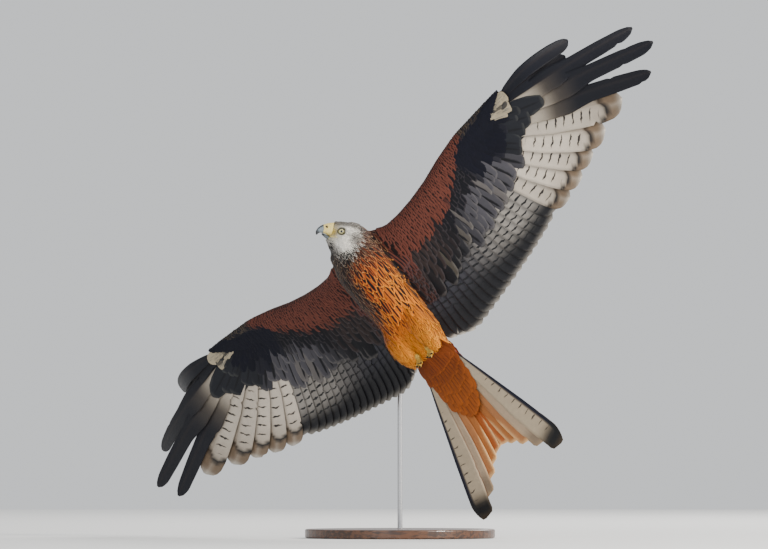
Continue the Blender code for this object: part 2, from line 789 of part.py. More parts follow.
def build():
    clear_scene()
    kite = make_collection("red_kite")
    shop = make_collection("cutters")
    pose = bpy.data.objects.new("kite_pose", None)
    kite.objects.link(pose)
    pose.location = POSE_PLACE
    pose.rotation_euler = [math.radians(angle) for angle in (BANK_DEG, -CLIMB_DEG, HEADING_DEG)]

    rufous = make_material("rufous_plumage", (0.36, 0.15, 0.06), 0.85)
    streaked = make_material("streaked_neck", (0.45, 0.36, 0.30), 0.85)
    pale = make_material("pale_head", (0.72, 0.69, 0.65), 0.85)
    dark = make_material("dark_wing", (0.10, 0.09, 0.10), 0.8)
    tail_red = make_material("tail_orange", (0.62, 0.28, 0.10), 0.8)
    horn = make_material("bill_horn", (0.55, 0.48, 0.30), 0.45)
    iris = make_material("eye_iris", (0.80, 0.70, 0.35), 0.1)
    skin = make_material("yellow_skin", (0.80, 0.58, 0.12), 0.6)
    steel = make_material("rod_steel", (0.45, 0.45, 0.46), 0.35, 1.0)
    wood = make_material("base_wood", (0.16, 0.09, 0.05), 0.5)

    # Torso, neck and head come from one form, parted by two thin cuts.
    torso = body_core(0, kite)
    neck = copy_of(torso, "neck", kite)
    head = copy_of(torso, "head", kite)
    neck_x = NECK_END_X * MM
    cut_place = mm(HEAD_CUT_PLACE)
    cut_way = Vector(HEAD_CUT_DIRECTION).normalized()
    half = GAP / 2
    combine(torso, [half_space((neck_x - half, 0, 0), (1, 0, 0), shop)], "DIFFERENCE")
    combine(neck, [
        half_space((neck_x + half, 0, 0), (-1, 0, 0), shop),
        half_space(cut_place - cut_way * half, cut_way, shop),
    ], "DIFFERENCE")
    combine(head, [half_space(cut_place + cut_way * half, -cut_way, shop)], "DIFFERENCE")

    # Lids and brows are raised on the head, then sockets and mouth line are cut.
    frame = head_frame()
    raised = []
    sunk = []
    for side in (1, -1):
        raised.append(lid(frame, side, shop))
        brow_place = (BROW_PLACE[0], side * BROW_PLACE[1], BROW_PLACE[2])
        raised.append(ellipsoid(frame, brow_place, BROW_SIZE, (side * -20, 12, side * -14), shop))
        socket = EYE_RADIUS + GAP / MM
        eye_place = (EYE_PLACE[0], side * EYE_PLACE[1], EYE_PLACE[2])
        sunk.append(ellipsoid(frame, eye_place, (socket, socket, socket), (90, 0, 0), shop))
        sunk.append(gape_cutter(frame, side, shop))
    sunk.append(loft("jaw_guard", bill_rings(JAW_SECTIONS, frame, GAP), shop))
    sunk.append(loft("bill_guard", bill_rings(BILL_SECTIONS, frame, GAP), shop))
    combine(head, raised, "UNION")
    combine(head, sunk, "DIFFERENCE")

    for label, side in (("left", 1), ("right", -1)):
        eye_place = (EYE_PLACE[0], side * EYE_PLACE[1], EYE_PLACE[2])
        eye = ellipsoid(frame, eye_place, (EYE_RADIUS, EYE_RADIUS, EYE_RADIUS), (90, 0, 0), kite)
        finish_node(eye, "eye_" + label, iris, pose)

    bill = loft("bill_upper", bill_rings(BILL_SECTIONS, frame, 0), kite)
    bill_guard = loft("bill_guard", bill_rings(BILL_SECTIONS, frame, GAP), shop)
    jaw = loft("bill_lower", bill_rings(JAW_SECTIONS, frame, 0), kite)
    combine(jaw, [bill_guard], "DIFFERENCE")
    pits = []
    for side in (1, -1):
        place = (NOSTRIL_PLACE[0], side * NOSTRIL_PLACE[1], NOSTRIL_PLACE[2])
        pits.append(ellipsoid(frame, place, NOSTRIL_SIZE, (0, 25, side * -12), shop, 10, 6))
    combine(bill, pits, "DIFFERENCE")

    # Wings
    for label, side in (("left", 1), ("right", -1)):
        arm = wing_blade("arm", side, kite)
        hand = wing_blade("hand", side, kite)
        combine(arm, arm_feathers(side, shop), "UNION")
        combine(hand, hand_feathers(side, shop), "UNION")
        combine(arm, [body_core(GAP, shop), wrist_cutter("outer", side, True, shop)], "DIFFERENCE")
        combine(hand, [wrist_cutter("inner", side, False, shop)], "DIFFERENCE")
        finish_node(arm, "wing_" + label + "_arm", dark, pose)
        finish_node(hand, "wing_" + label + "_hand", dark, pose)

    # Tail, legs and feet
    tail = tail_root(kite)
    combine(tail, tail_feathers(shop), "UNION")
    finish_node(tail, "tail", tail_red, pose)
    for label, side in (("left", 1), ("right", -1)):
        leg = thigh("leg_" + label, side, 0, kite)
        combine(leg, [body_core(GAP, shop)], "DIFFERENCE")
        claws = foot("foot_" + label, side, kite)
        combine(claws, [body_core(GAP, shop), thigh("thigh_guard", side, GAP, shop)], "DIFFERENCE")
        finish_node(claws, "foot_" + label, skin, pose)
        finish_node(leg, "leg_" + label, rufous, pose)

    finish_node(torso, "torso", rufous, pose)
    finish_node(neck, "neck", streaked, pose)
    finish_node(head, "head", pale, pose)
    finish_node(bill, "bill_upper", horn, pose)
    finish_node(jaw, "bill_lower", horn, pose)

    rod = stand_rod(kite)
    back = body_core(GAP, shop)
    back.data.transform(Matrix.Translation(POSE_PLACE) @ pose.rotation_euler.to_matrix().to_4x4())
    combine(rod, [back], "DIFFERENCE")
    finish_node(rod, "stand_rod", steel, None)
    base = stand_base(kite)
    finish_node(base, "stand_base", wood, None)


build()
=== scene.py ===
import itertools
import math

import bmesh
import bpy
import numpy as np
from mathutils import Euler, Matrix, Vector
from mathutils.bvhtree import BVHTree
from mathutils.kdtree import KDTree


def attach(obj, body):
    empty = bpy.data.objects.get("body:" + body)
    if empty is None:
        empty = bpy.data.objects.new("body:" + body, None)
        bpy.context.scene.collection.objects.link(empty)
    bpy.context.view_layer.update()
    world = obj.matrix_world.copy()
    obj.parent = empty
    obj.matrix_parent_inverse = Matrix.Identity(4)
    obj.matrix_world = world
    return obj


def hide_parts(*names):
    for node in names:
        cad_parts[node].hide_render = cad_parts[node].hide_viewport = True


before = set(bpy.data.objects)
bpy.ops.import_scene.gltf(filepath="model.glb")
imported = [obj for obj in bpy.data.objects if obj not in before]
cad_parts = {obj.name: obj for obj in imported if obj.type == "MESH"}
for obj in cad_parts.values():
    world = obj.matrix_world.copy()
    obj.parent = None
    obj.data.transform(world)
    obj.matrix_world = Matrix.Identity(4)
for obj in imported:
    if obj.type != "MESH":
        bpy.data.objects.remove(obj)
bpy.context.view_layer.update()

# The bird is laid out in its own frame, in mm: X to the bill, Y to its left wing, Z to its back.
kite = {
    "place": (-0.083, -0.030, 0.565),
    "turnDeg": (71.3, -51.4, 168.0),
    "headPlace": (48, 11, -19),
    "headTurnDeg": (-64.6, 23.6, -36.5),
    "seed": 7,
}
dice = np.random.default_rng(kite["seed"])


def turnedFrame(place, degrees):
    turn = Euler([math.radians(angle) for angle in degrees]).to_matrix().to_4x4()
    return Matrix.Translation(Vector(place)) @ turn


poseMatrix = turnedFrame(kite["place"], kite["turnDeg"])
headMatrix = turnedFrame(kite["headPlace"], kite["headTurnDeg"])
headTurn = np.array(headMatrix.to_3x3())
headSpot = np.array(kite["headPlace"], float)


def headToBird(points):
    return np.asarray(points, float) @ headTurn.T + headSpot


def birdToHead(points):
    return (np.asarray(points, float) - headSpot) @ headTurn


def toWorld(points):
    turn = np.array(poseMatrix.to_3x3())
    return np.asarray(points, float) * 0.001 @ turn.T + np.array(kite["place"])


# camera, light and floor
view = {
    "distance": 40.0,
    "height": 0.527,
    "sideways": -0.032,
    "frameWide": 1.536,
    "sensor": 36.0,
    "clip": (0.5, 400),
    "aimHeight": 0.55,
    "floorRadius": 5.0,
    "floorDrop": 0.0005,
    "floorColour": (0.78, 0.78, 0.77),
    "worldColour": (0.80, 0.82, 0.84),
    "worldStrength": 0.98,
}
lamps = (
    # name, place, size, watts, colour
    ("keyLight", (4.3, -3.2, 2.3), 1.5, 480, (1.0, 0.95, 0.87)),
    ("frontFill", (-1.6, -4.6, 1.4), 3.0, 70, (0.90, 0.95, 1.0)),
    ("backLight", (2.0, 3.2, 2.6), 2.6, 160, (1.0, 0.97, 0.93)),
)


def placed(name, data):
    thing = bpy.data.objects.new(name, data)
    bpy.context.scene.collection.objects.link(thing)
    return thing


def aimAt(thing, target):
    heading = Vector(target) - thing.location
    thing.rotation_euler = heading.to_track_quat("-Z", "Y").to_euler()


def makeCamera():
    data = bpy.data.cameras.new("camera")
    data.sensor_width = view["sensor"]
    data.lens = view["sensor"] * view["distance"] / view["frameWide"]
    data.clip_start, data.clip_end = view["clip"]
    camera = placed("camera", data)
    camera.location = (view["sideways"], -view["distance"], view["height"])
    camera.rotation_euler = (math.pi / 2, 0, 0)
    bpy.context.scene.camera = camera


def makeLights():
    for name, place, size, watts, colour in lamps:
        data = bpy.data.lights.new(name, "AREA")
        data.shape, data.size, data.energy, data.color = "DISK", size, watts, colour
        lamp = placed(name, data)
        lamp.location = place
        aimAt(lamp, (0, 0, view["aimHeight"]))
    world = bpy.data.worlds.new("studio")
    bpy.context.scene.world = world
    world.use_nodes = True
    background = world.node_tree.nodes["Background"]
    background.inputs["Color"].default_value = (*view["worldColour"], 1)
    background.inputs["Strength"].default_value = view["worldStrength"]


makeCamera()
makeLights()
print("camera and lights ready")


# small shader helpers
def linearColour(code):
    shares = [int(code[at:at + 2], 16) / 255 for at in (1, 3, 5)]
    return np.array([((c + 0.055) / 1.055) ** 2.4 if c > 0.04045 else c / 12.92 for c in shares])


def addNode(tree, kind, **settings):
    node = tree.nodes.new(kind)
    for key, value in settings.items():
        setattr(node, key, value)
    return node


def plug(tree, source, target):
    if isinstance(source, bpy.types.NodeSocket):
        tree.links.new(source, target)
    else:
        target.default_value = source


def sums(tree, operation, first, second=None, third=None, clamp=False):
    node = addNode(tree, "ShaderNodeMath", operation=operation, use_clamp=clamp)
    for socket, value in zip(node.inputs, (first, second, third)):
        if value is not None:
            plug(tree, value, socket)
    return node.outputs[0]


def times(tree, first, second):
    return sums(tree, "MULTIPLY", first, second)


def timesPlus(tree, first, second, third):
    return sums(tree, "MULTIPLY_ADD", first, second, third)


def ramp(tree, value, low, high, outLow=0.0, outHigh=1.0):
    node = addNode(tree, "ShaderNodeMapRange", interpolation_type="SMOOTHSTEP")
    for name, setting in zip(("Value", "From Min", "From Max", "To Min", "To Max"),
                             (value, low, high, outLow, outHigh)):
        plug(tree, setting, node.inputs[name])
    return node.outputs["Result"]


def blendColours(tree, mask, first, second):
    node = addNode(tree, "ShaderNodeMix", data_type="RGBA")
    plug(tree, mask, node.inputs[0])
    plug(tree, first, node.inputs[6])
    plug(tree, second, node.inputs[7])
    return node.outputs[2]


def cloudNoise(tree, place, scale, detail=2.0, rough=0.5):
    node = addNode(tree, "ShaderNodeTexNoise")
    plug(tree, place, node.inputs["Vector"])
    node.inputs["Scale"].default_value = scale
    node.inputs["Detail"].default_value = detail
    node.inputs["Roughness"].default_value = rough
    return node.outputs["Fac"]


def attribute(tree, name):
    return addNode(tree, "ShaderNodeAttribute", attribute_name=name)


def objectPlace(tree):
    return addNode(tree, "ShaderNodeTexCoord").outputs["Object"]


def parts(tree, socket):
    node = addNode(tree, "ShaderNodeSeparateXYZ")
    plug(tree, socket, node.inputs[0])
    return node.outputs


def combined(tree, *values):
    node = addNode(tree, "ShaderNodeCombineXYZ")
    for value, socket in zip(values, node.inputs):
        plug(tree, value, socket)
    return node.outputs[0]


def scaled(tree, colour, share):
    node = addNode(tree, "ShaderNodeVectorMath", operation="SCALE")
    plug(tree, colour, node.inputs[0])
    plug(tree, share, node.inputs["Scale"])
    return node.outputs[0]


def newMaterial(name, settings):
    material = bpy.data.materials.new(name)
    material.use_nodes = True
    shader = material.node_tree.nodes["Principled BSDF"]
    for key, value in settings.items():
        shader.inputs[key].default_value = value
    return material, material.node_tree, shader


def bumpFrom(tree, height, shader, strength, distance):
    relief = addNode(tree, "ShaderNodeBump")
    relief.inputs["Strength"].default_value = strength
    relief.inputs["Distance"].default_value = distance
    plug(tree, height, relief.inputs["Height"])
    plug(tree, relief.outputs[0], shader.inputs["Normal"])


def makeFloor():
    mesh = bpy.data.meshes.new("floor")
    shape = bmesh.new()
    bmesh.ops.create_circle(shape, cap_ends=True, segments=96, radius=view["floorRadius"])
    shape.to_mesh(mesh)
    shape.free()
    floor = placed("floor", mesh)
    floor.location.z = -view["floorDrop"]
    material, tree, shader = newMaterial("paleFloor", {"Roughness": 0.75})
    grain = cloudNoise(tree, objectPlace(tree), 3.0, 3.0)
    tone = (*view["floorColour"], 1)
    softer = tuple(c * 0.97 for c in view["floorColour"]) + (1,)
    plug(tree, blendColours(tree, grain, tone, softer), shader.inputs["Base Color"])
    mesh.materials.append(material)


makeFloor()

# the feather pattern: shaft streak, bars, fringe and barbs, all from each feather's own lie
featherLook = {
    "barbPitch": 1.15,
    "barbSlant": 0.75,
    "barbWaver": 1.4,
    "barbGrooveShade": 0.22,
    "wobbleScale": 0.11,
    "fineScale": 0.45,
    "barSlant": 0.28,
    "barWaver": 9.0,
    "barStagger": 7.0,
    "fringeFrom": 0.74,
    "fringeTo": 1.02,
    "lotShade": 0.26,
    "mottle": 0.24,
    "shaftHeight": 1.2,
    "bump": 0.4,
    "bumpDistance": 0.0004,
    "tonePower": 1.45,
}
patternSockets = {"Ground": "Color", "Mark": "Color", "Fringe": "Color", "Lie": "Vector", "Amounts": "Vector",
                  "Span": "Vector"}
fullTurn = 6.283


def featherGroup():
    tree = bpy.data.node_groups.new("featherPattern", "ShaderNodeTree")
    for name, kind in patternSockets.items():
        tree.interface.new_socket(name, in_out="INPUT", socket_type="NodeSocket" + kind)
    tree.interface.new_socket("Colour", in_out="OUTPUT", socket_type="NodeSocketColor")
    tree.interface.new_socket("Height", in_out="OUTPUT", socket_type="NodeSocketFloat")
    given = addNode(tree, "NodeGroupInput").outputs
    result = addNode(tree, "NodeGroupOutput").inputs
    look = featherLook
    across, along, lot = parts(tree, given["Lie"])
    streakWide, barAmount, fringeAmount = parts(tree, given["Amounts"])
    halfWide, length, period = parts(tree, given["Span"])
    aside = sums(tree, "ABSOLUTE", across)
    mmAcross = times(tree, across, halfWide)
    mmAside = sums(tree, "ABSOLUTE", mmAcross)
    mmAlong = times(tree, along, length)
    spot = combined(tree, mmAcross, mmAlong, times(tree, lot, 37.0))
    wobble = cloudNoise(tree, spot, look["wobbleScale"])
    fine = cloudNoise(tree, spot, look["fineScale"])

    # barbs run out from the shaft toward the tip
    barbRun = timesPlus(tree, mmAside, -look["barbSlant"], mmAlong)
    barbTurn = timesPlus(tree, fine, look["barbWaver"], times(tree, barbRun, fullTurn / look["barbPitch"]))
    barbs = timesPlus(tree, sums(tree, "SINE", barbTurn), 0.5, 0.5)

    # dark shaft streak, narrowing to a drop at the tip
    reach = ramp(tree, along, 0.80, 1.0, 1.0, 0.12)
    ragged = sums(tree, "ADD", 0.62, times(tree, wobble, 0.8))
    edgeAt = times(tree, times(tree, streakWide, reach), ragged)
    streak = ramp(tree, sums(tree, "SUBTRACT", edgeAt, aside), -0.04, 0.14)

    # cross bars, staggered from feather to feather
    slant = timesPlus(tree, mmAside, look["barSlant"], mmAlong)
    swayed = timesPlus(tree, wobble, look["barWaver"], slant)
    swayed = timesPlus(tree, lot, look["barStagger"], swayed)
    turns = sums(tree, "DIVIDE", swayed, sums(tree, "MAXIMUM", period, 1.0))
    wave = sums(tree, "SINE", times(tree, turns, fullTurn))
    # a small bar amount gives thin bars, a large one broad bars
    barFrom = timesPlus(tree, barAmount, -0.85, 1.0)
    bars = ramp(tree, sums(tree, "SUBTRACT", wave, barFrom), 0.0, 0.22)
    bars = times(tree, bars, ramp(tree, barAmount, 0.0, 0.16))

    # fringe along the sides and round the tip
    sideEdge = times(tree, aside, ramp(tree, along, 0.35, 0.80))
    edge = sums(tree, "MAXIMUM", sideEdge, ramp(tree, along, 0.80, 1.0))
    edge = ramp(tree, timesPlus(tree, fine, 0.18, edge), look["fringeFrom"], look["fringeTo"])
    marked = sums(tree, "MAXIMUM", streak, bars, clamp=True)
    colour = blendColours(tree, marked, given["Ground"], given["Mark"])
    colour = blendColours(tree, times(tree, edge, fringeAmount), colour, given["Fringe"])

    # each feather a little lighter or darker than its neighbours, with barbs picked out by painted shade in the grooves
    # between them and painted light on their ridges
    shade = timesPlus(tree, wobble, look["mottle"], 1 - look["mottle"] / 2)
    shade = times(tree, shade, timesPlus(tree, lot, look["lotShade"], 1 - look["lotShade"] / 2))
    shade = times(tree, shade, timesPlus(tree, barbs, look["barbGrooveShade"], 1 - look["barbGrooveShade"] / 2))
    plug(tree, scaled(tree, colour, shade), result["Colour"])
    shaft = ramp(tree, aside, 0.10, 0.0, 0.0, look["shaftHeight"])
    plug(tree, sums(tree, "ADD", barbs, shaft), result["Height"])
    return tree


featherTree = featherGroup()


def featherMaterial(name, roughness, sheen, specular=0.2):
    material, tree, shader = newMaterial(name, {"Roughness": roughness, "Specular IOR Level": specular,
                                                "Sheen Weight": sheen, "Sheen Roughness": 0.5})
    pattern = addNode(tree, "ShaderNodeGroup", node_tree=featherTree)
    for socket, kind in patternSockets.items():
        plug(tree, attribute(tree, socket.lower()).outputs[kind], pattern.inputs[socket])
    plug(tree, pattern.outputs["Colour"], shader.inputs["Base Color"])
    bumpFrom(tree, pattern.outputs["Height"], shader, featherLook["bump"], featherLook["bumpDistance"])
    return material


bodyPlumage = featherMaterial("bodyPlumage", 0.75, 0.08)
facePlumage = featherMaterial("facePlumage", 0.80, 0.12)
wingCoverts = featherMaterial("wingCoverts", 0.70, 0.04)
flightVanes = featherMaterial("flightVanes", 0.55, 0.02, 0.28)
print("feather materials ready")


# feather meshes
def buildMesh(name, points, quads, uvs, layers, material):
    # points in bird mm, uvs and layers one row for each vertex
    mesh = bpy.data.meshes.new(name)
    mesh.vertices.add(len(points))
    mesh.vertices.foreach_set("co", toWorld(points).astype(np.float32).ravel())
    mesh.loops.add(quads.size)
    mesh.loops.foreach_set("vertex_index", quads.astype(np.int32).ravel())
    mesh.polygons.add(len(quads))
    mesh.polygons.foreach_set("loop_start", np.arange(0, quads.size, 4, dtype=np.int32))
    mesh.polygons.foreach_set("use_smooth", np.ones(len(quads), bool))
    mesh.update(calc_edges=True)
    uvLayer = mesh.uv_layers.new(name="OFBake")
    uvLayer.data.foreach_set("uv", uvs[quads.ravel()].astype(np.float32).ravel())
    for key, (kind, values) in layers.items():
        layer = mesh.attributes.new(key, kind, "POINT")
        if kind == "FLOAT_COLOR":
            values = np.concatenate([values, np.ones((len(values), 1))], axis=1)
            layer.data.foreach_set("color", values.astype(np.float32).ravel())
        else:
            layer.data.foreach_set("vector", values.astype(np.float32).ravel())
    mesh.materials.append(material)
    return placed(name, mesh)


def vaneGrid(spine, outward, over, outer, inner, columns, sag, rough, thick=0.0):
    # spine, outward and over hold a direction for each feather and station
    count, stations = spine.shape[:2]
    cols = np.asarray(columns)
    wide = np.where(cols[None, None, :] >= 0, outer[:, :, None], inner[:, :, None]) * cols[None, None, :]
    if rough:
        ragged = 1 + rough * dice.uniform(-1, 1, (count, stations, len(cols)))
        wide = wide * np.where(np.abs(cols)[None, None, :] > 0.8, ragged, 1)
    drop = -sag[:, :, None] * cols[None, None, :] ** 2
    grid = spine[:, :, None, :] + outward[:, :, None, :] * wide[..., None] + over[:, :, None, :] * drop[..., None]
    if thick:
        # rachis raised in both faces
        body = thick * (0.35 + 0.65 * np.exp(-(cols / 0.12) ** 2))
        fade = np.linspace(1, 0.35, stations)
        lift = over[:, :, None, :] * (body[None, None, :] * fade[None, :, None])[..., None]
        grid = np.stack([grid + lift, grid - lift], axis=2)
    return grid


def gridQuads(count, stations, width, closed):
    if not closed:
        base = np.arange(stations * width).reshape(stations, width)
        quads = np.stack([base[:-1, :-1], base[:-1, 1:], base[1:, 1:], base[1:, :-1]], -1).reshape(-1, 4)
        each = stations * width
    else:
        top = np.arange(stations * 2 * width).reshape(stations, 2, width)
        ring = np.concatenate([top[:, 0, :], top[:, 1, ::-1]], axis=1)
        following = np.roll(ring, -1, axis=1)
        quads = np.stack([ring[:-1], following[:-1], following[1:], ring[1:]], -1).reshape(-1, 4)
        ends = []
        for row, flip in ((0, True), (stations - 1, False)):
            a, b = top[row, 0], top[row, 1]
            cap = np.stack([a[:-1], a[1:], b[1:], b[:-1]], -1)
            ends.append(cap[:, ::-1] if flip else cap)
        quads = np.concatenate([quads] + ends)
        each = stations * 2 * width
    return (quads[None] + np.arange(count)[:, None, None] * each).reshape(-1, 4)


def ease(value, low, high):
    part = np.clip((np.asarray(value, float) - low) / (high - low), 0, 1)
    return part * part * (3 - 2 * part)


def mixes(mask, first, second):
    mask = np.asarray(mask, float)[..., None]
    return np.asarray(first, float) * (1 - mask) + np.asarray(second, float) * mask


def mound(dx, dz, long, tall):
    return np.exp(-(dx / long) ** 2 - (dz / tall) ** 2)


def unit(vectors):
    return vectors / np.maximum(np.linalg.norm(vectors, axis=-1, keepdims=True), 1e-9)


coatSamples = []
rootPatch = (0.003, 0.003)


def plumeMesh(name, grid, columns, columnsAlong, tones, amounts, span, lot, homes, patch, material,
              closed=False, mirrorFaces=False):
    # tones, amounts and span hold a row for each feather or for each of its vertices
    count, stations = grid.shape[:2]
    width = len(columns)
    shape = (count, stations) + ((2,) if closed else ()) + (width,)
    each = (count,) + (1,) * (len(shape) - 1)

    def spreadOut(value):
        value = np.asarray(value, float)
        value = value.reshape(each + (3,)) if value.ndim == 2 else value
        return np.broadcast_to(value, shape + (3,)).reshape(-1, 3)

    if not closed:
        coatSamples.append((grid[:, 1, width // 2], mixes(np.asarray(amounts)[:, 0] * 0.5, *tones[:2])))
    across = np.broadcast_to(np.asarray(columns), shape)
    along = np.asarray(columnsAlong).reshape((1, stations) + each[2:])
    along = np.broadcast_to(along, shape)
    lie = np.stack([across, along, np.broadcast_to(lot.reshape(each), shape)], -1)
    layers = {"lie": ("FLOAT_VECTOR", lie.reshape(-1, 3))}
    for key, tone in zip(("ground", "mark", "fringe"), tones):
        layers[key] = ("FLOAT_COLOR", spreadOut(tone))
    layers["amounts"] = ("FLOAT_VECTOR", spreadOut(amounts))
    layers["span"] = ("FLOAT_VECTOR", spreadOut(span))
    local = np.stack([across * 0.5, along - 0.5], -1) * np.asarray(patch)
    if closed:
        # the two faces of a blade lie side by side in its patch
        local = local * np.array([0.46, 1.0])
        local[..., 0] += np.array([-0.25, 0.25]).reshape(1, 1, 2, 1) * patch[0]
    uvs = (np.asarray(homes).reshape(each + (2,)) + local).reshape(-1, 2)
    quads = gridQuads(count, stations, width, closed)
    if mirrorFaces:
        quads = quads[:, ::-1]
    return buildMesh(name, grid.reshape(-1, 3), quads, uvs, layers, material)


# the skin: torso, neck, head, thighs, arms and tail root as one closed surface
flesh = {
    "bodyDepth": 3.6,
    "neckDepth": 3.0,
    "headDepth": 1.3,
    "thighDepth": 3.4,
    "armDepth": 1.6,
    "tailDepth": 1.5,
    "voxel": 2.4,
    "smoothing": 5,
    "sides": 40,
}
# place along, height, half width, half height
torsoSections = (
    (22, -17, 20, 20), (12, -17, 41, 40), (-4, -17, 53, 52), (-40, -17, 57, 57), (-85, -15, 56, 54),
    (-130, -12, 55, 49), (-175, -9, 54, 43), (-215, -6, 51, 37), (-249, -3, 42, 28),
)
# middle, long half, short half
neckSections = (
    (-28, 0, -17, 47, 46), (4, 4, -17, 51, 44), (32.8, 9.8, -21, 47, 36), (53.4, 5.6, -25.2, 34.6, 26),
    (62.4, 4.8, -27, 23, 16),
)
neckLongAxis = (0.18, -0.81, -0.56)
# place along, half width, top, bottom, in the head's frame
headSections = (
    (-44, 8, 9.5, 0), (-38, 15, 13.5, -8), (-28, 20.5, 18, -17), (-14, 23.5, 25.0, -23), (-1, 24, 28.4, -25),
    (9, 21, 27.6, -26), (17, 16, 26.8, -27), (22, 12, 25.4, -26.5), (25.5, 9.5, -10, -25), (30, 7, -12, -21.5),
    (34, 3.6, -13.5, -16.5),
)
thighSections = (
    (-152, 29, -34, 20, 15), (-190, 33, -38, 26, 20), (-226, 33, -37, 22, 17), (-254, 28, -34, 11, 9),
)
tailPlace = (-249.4, 0, -2)
tailTurnDeg = {"yaw": -3.3, "droop": 10.9}
tailRootSections = ((0, 38, 27), (-16, 45, 19), (-36, 46, 12), (-58, 42, 7))

# place out along the wing, leading edge, depth of the arm, its thickness
wingStations = np.array((
    (20, 32, 130, 27), (54, 25, 124, 27), (84, 10, 106, 25), (120, 11, 104, 24), (160, 17, 103, 23), (205, 28, 102, 21),
    (252, 44, 100, 19), (312, 60, 92, 16), (370, 66, 58, 12), (410, 70, 34, 9), (438, 71, 16, 6),
), float)
bladeProfile = np.array((
    (0, 0), (0.02, 0.3), (0.06, 0.56), (0.14, 0.84), (0.24, 1.0), (0.4, 0.94), (0.62, 0.74), (1.0, 0.44),
))
wing = {
    "dihedral": 0.185,
    "shoulder": 50,
    "droopFrom": 250,
    "droop": 0.00011,
    "camber": 13,
    "camberChord": 275,
    "camberFade": 900,
    "camberLeast": 0.3,
    "behindArm": 2.6,
}


def wingStation(out):
    return [np.interp(out, wingStations[:, 0], wingStations[:, column]) for column in (1, 2, 3)]


def wingHeight(forward, out):
    rise = wing["dihedral"] * np.maximum(0, out - wing["shoulder"])
    droop = wing["droop"] * np.maximum(0, out - wing["droopFrom"]) ** 2
    part = np.clip((wingStation(out)[0] - forward) / wing["camberChord"], 0, 1)
    arch = wing["camber"] * np.maximum(wing["camberLeast"], 1 - out / wing["camberFade"])
    return rise - droop + 4 * arch * part * (1 - part)


def wingHalf(forward, out):
    # half thickness under the coverts, thinning behind the arm over the flight feathers' roots
    front, depth, thick = wingStation(out)
    part = (front - forward) / depth
    on = np.interp(np.clip(part, 0, 1), bladeProfile[:, 0], bladeProfile[:, 1]) * thick / 2
    behind = np.clip((part - 1) / 0.9, 0, 1)
    last = bladeProfile[-1, 1] * thick / 2
    return np.where(part > 1, last + (np.minimum(last, wing["behindArm"]) - last) * behind, on)


def smoothRows(rows, steps):
    rows = np.asarray(rows, float)
    padded = np.vstack([2 * rows[0] - rows[1], rows, 2 * rows[-1] - rows[-2]])
    made = []
    for at in range(len(rows) - 1):
        a, b, c, d = padded[at:at + 4]
        for t in np.linspace(0, 1, steps, endpoint=False):
            curve = 2 * b + (c - a) * t + (2 * a - 5 * b + 4 * c - d) * t * t + (3 * b - a - 3 * c + d) * t ** 3
            made.append(0.5 * curve)
    made.append(rows[-1])
    return np.array(made)


acrossBody, upBody = (0, 1, 0), (0, 0, 1)


def ovalRing(middle, side, up, wide, tall, sides):
    angles = np.arange(sides) / sides * 2 * np.pi
    return np.asarray(middle) + np.outer(np.cos(angles) * wide, side) + np.outer(np.sin(angles) * tall, up)


def shellOf(rings):
    # rings joined in a row, with both ends closed
    rings = [np.asarray(ring) for ring in rings]
    sides = len(rings[0])
    faces = []
    for at in range(len(rings) - 1):
        for k in range(sides):
            n = (k + 1) % sides
            faces.append((at * sides + k, at * sides + n, (at + 1) * sides + n, (at + 1) * sides + k))
    faces.append(tuple(range(sides))[::-1])
    faces.append(tuple(range((len(rings) - 1) * sides, len(rings) * sides)))
    return np.concatenate(rings), faces


def gathered(shells):
    points, faces, start = [], [], 0
    for shellPoints, shellFaces in shells:
        points.append(shellPoints)
        faces += [tuple(start + int(v) for v in face) for face in shellFaces]
        start += len(shellPoints)
    return np.concatenate(points), faces


def turnFacesOut(mesh):
    shape = bmesh.new()
    shape.from_mesh(mesh)
    bmesh.ops.recalc_face_normals(shape, faces=shape.faces)
    shape.to_mesh(mesh)
    shape.free()


def tailToBird(points):
    yaw, droop = tailTurnDeg["yaw"], tailTurnDeg["droop"]
    matrix = turnedFrame(tailPlace, (0, 0, yaw)) @ turnedFrame((0, 0, 0), (0, -droop, 0))
    return np.asarray(points, float) @ np.array(matrix.to_3x3()).T + np.array(tailPlace)


def torsoShell(depth):
    rows = smoothRows(torsoSections, 4)
    rows[0, 0] -= depth
    return shellOf([ovalRing((x, 0, z), acrossBody, upBody, wide - depth, tall - depth, flesh["sides"])
                    for x, z, wide, tall in rows])


def neckShell(depth):
    rows = smoothRows(neckSections, 5)
    rings = []
    for at, row in enumerate(rows):
        ahead = unit(rows[min(at + 1, len(rows) - 1), :3] - rows[max(at - 1, 0), :3])
        long = np.array(neckLongAxis)
        long = unit(long - ahead * long.dot(ahead))
        wide, tall = row[3:] - depth
        rings.append(ovalRing(row[:3], long, np.cross(ahead, long), wide, tall, flesh["sides"]))
    return shellOf(rings)


def headShell(depth):
    rings = []
    for x, wide, top, bottom in smoothRows(headSections, 5):
        middle = (x, 0, (top + bottom) / 2)
        wide, tall = max(1.5, wide - depth), max(1.5, (top - bottom) / 2 - depth)
        rings.append(headToBird(ovalRing(middle, acrossBody, upBody, wide, tall, flesh["sides"])))
    return shellOf(rings)


def thighShell(side, depth):
    return shellOf([ovalRing((x, side * y, z), acrossBody, upBody, wide - depth, tall - depth, 24)
                    for x, y, z, wide, tall in smoothRows(thighSections, 5)])


def armShell(side, depth):
    rings = []
    for out in np.linspace(20, 438, 40):
        front, deep, thick = wingStation(out)
        parts = bladeProfile[:, 0]
        halves = np.maximum(0.5, bladeProfile[:, 1] * thick / 2 - depth * 0.7)
        halves[0] = 0.2
        forward = front - depth - (deep - depth) * parts
        middle = wingHeight(forward, out)
        ring = [(x, side * out, z + h) for x, z, h in zip(forward, middle, halves)]
        ring += [(x, side * out, z - h) for x, z, h in zip(forward[:0:-1], middle[:0:-1], halves[:0:-1])]
        rings.append(np.array(ring))
    return shellOf(rings)


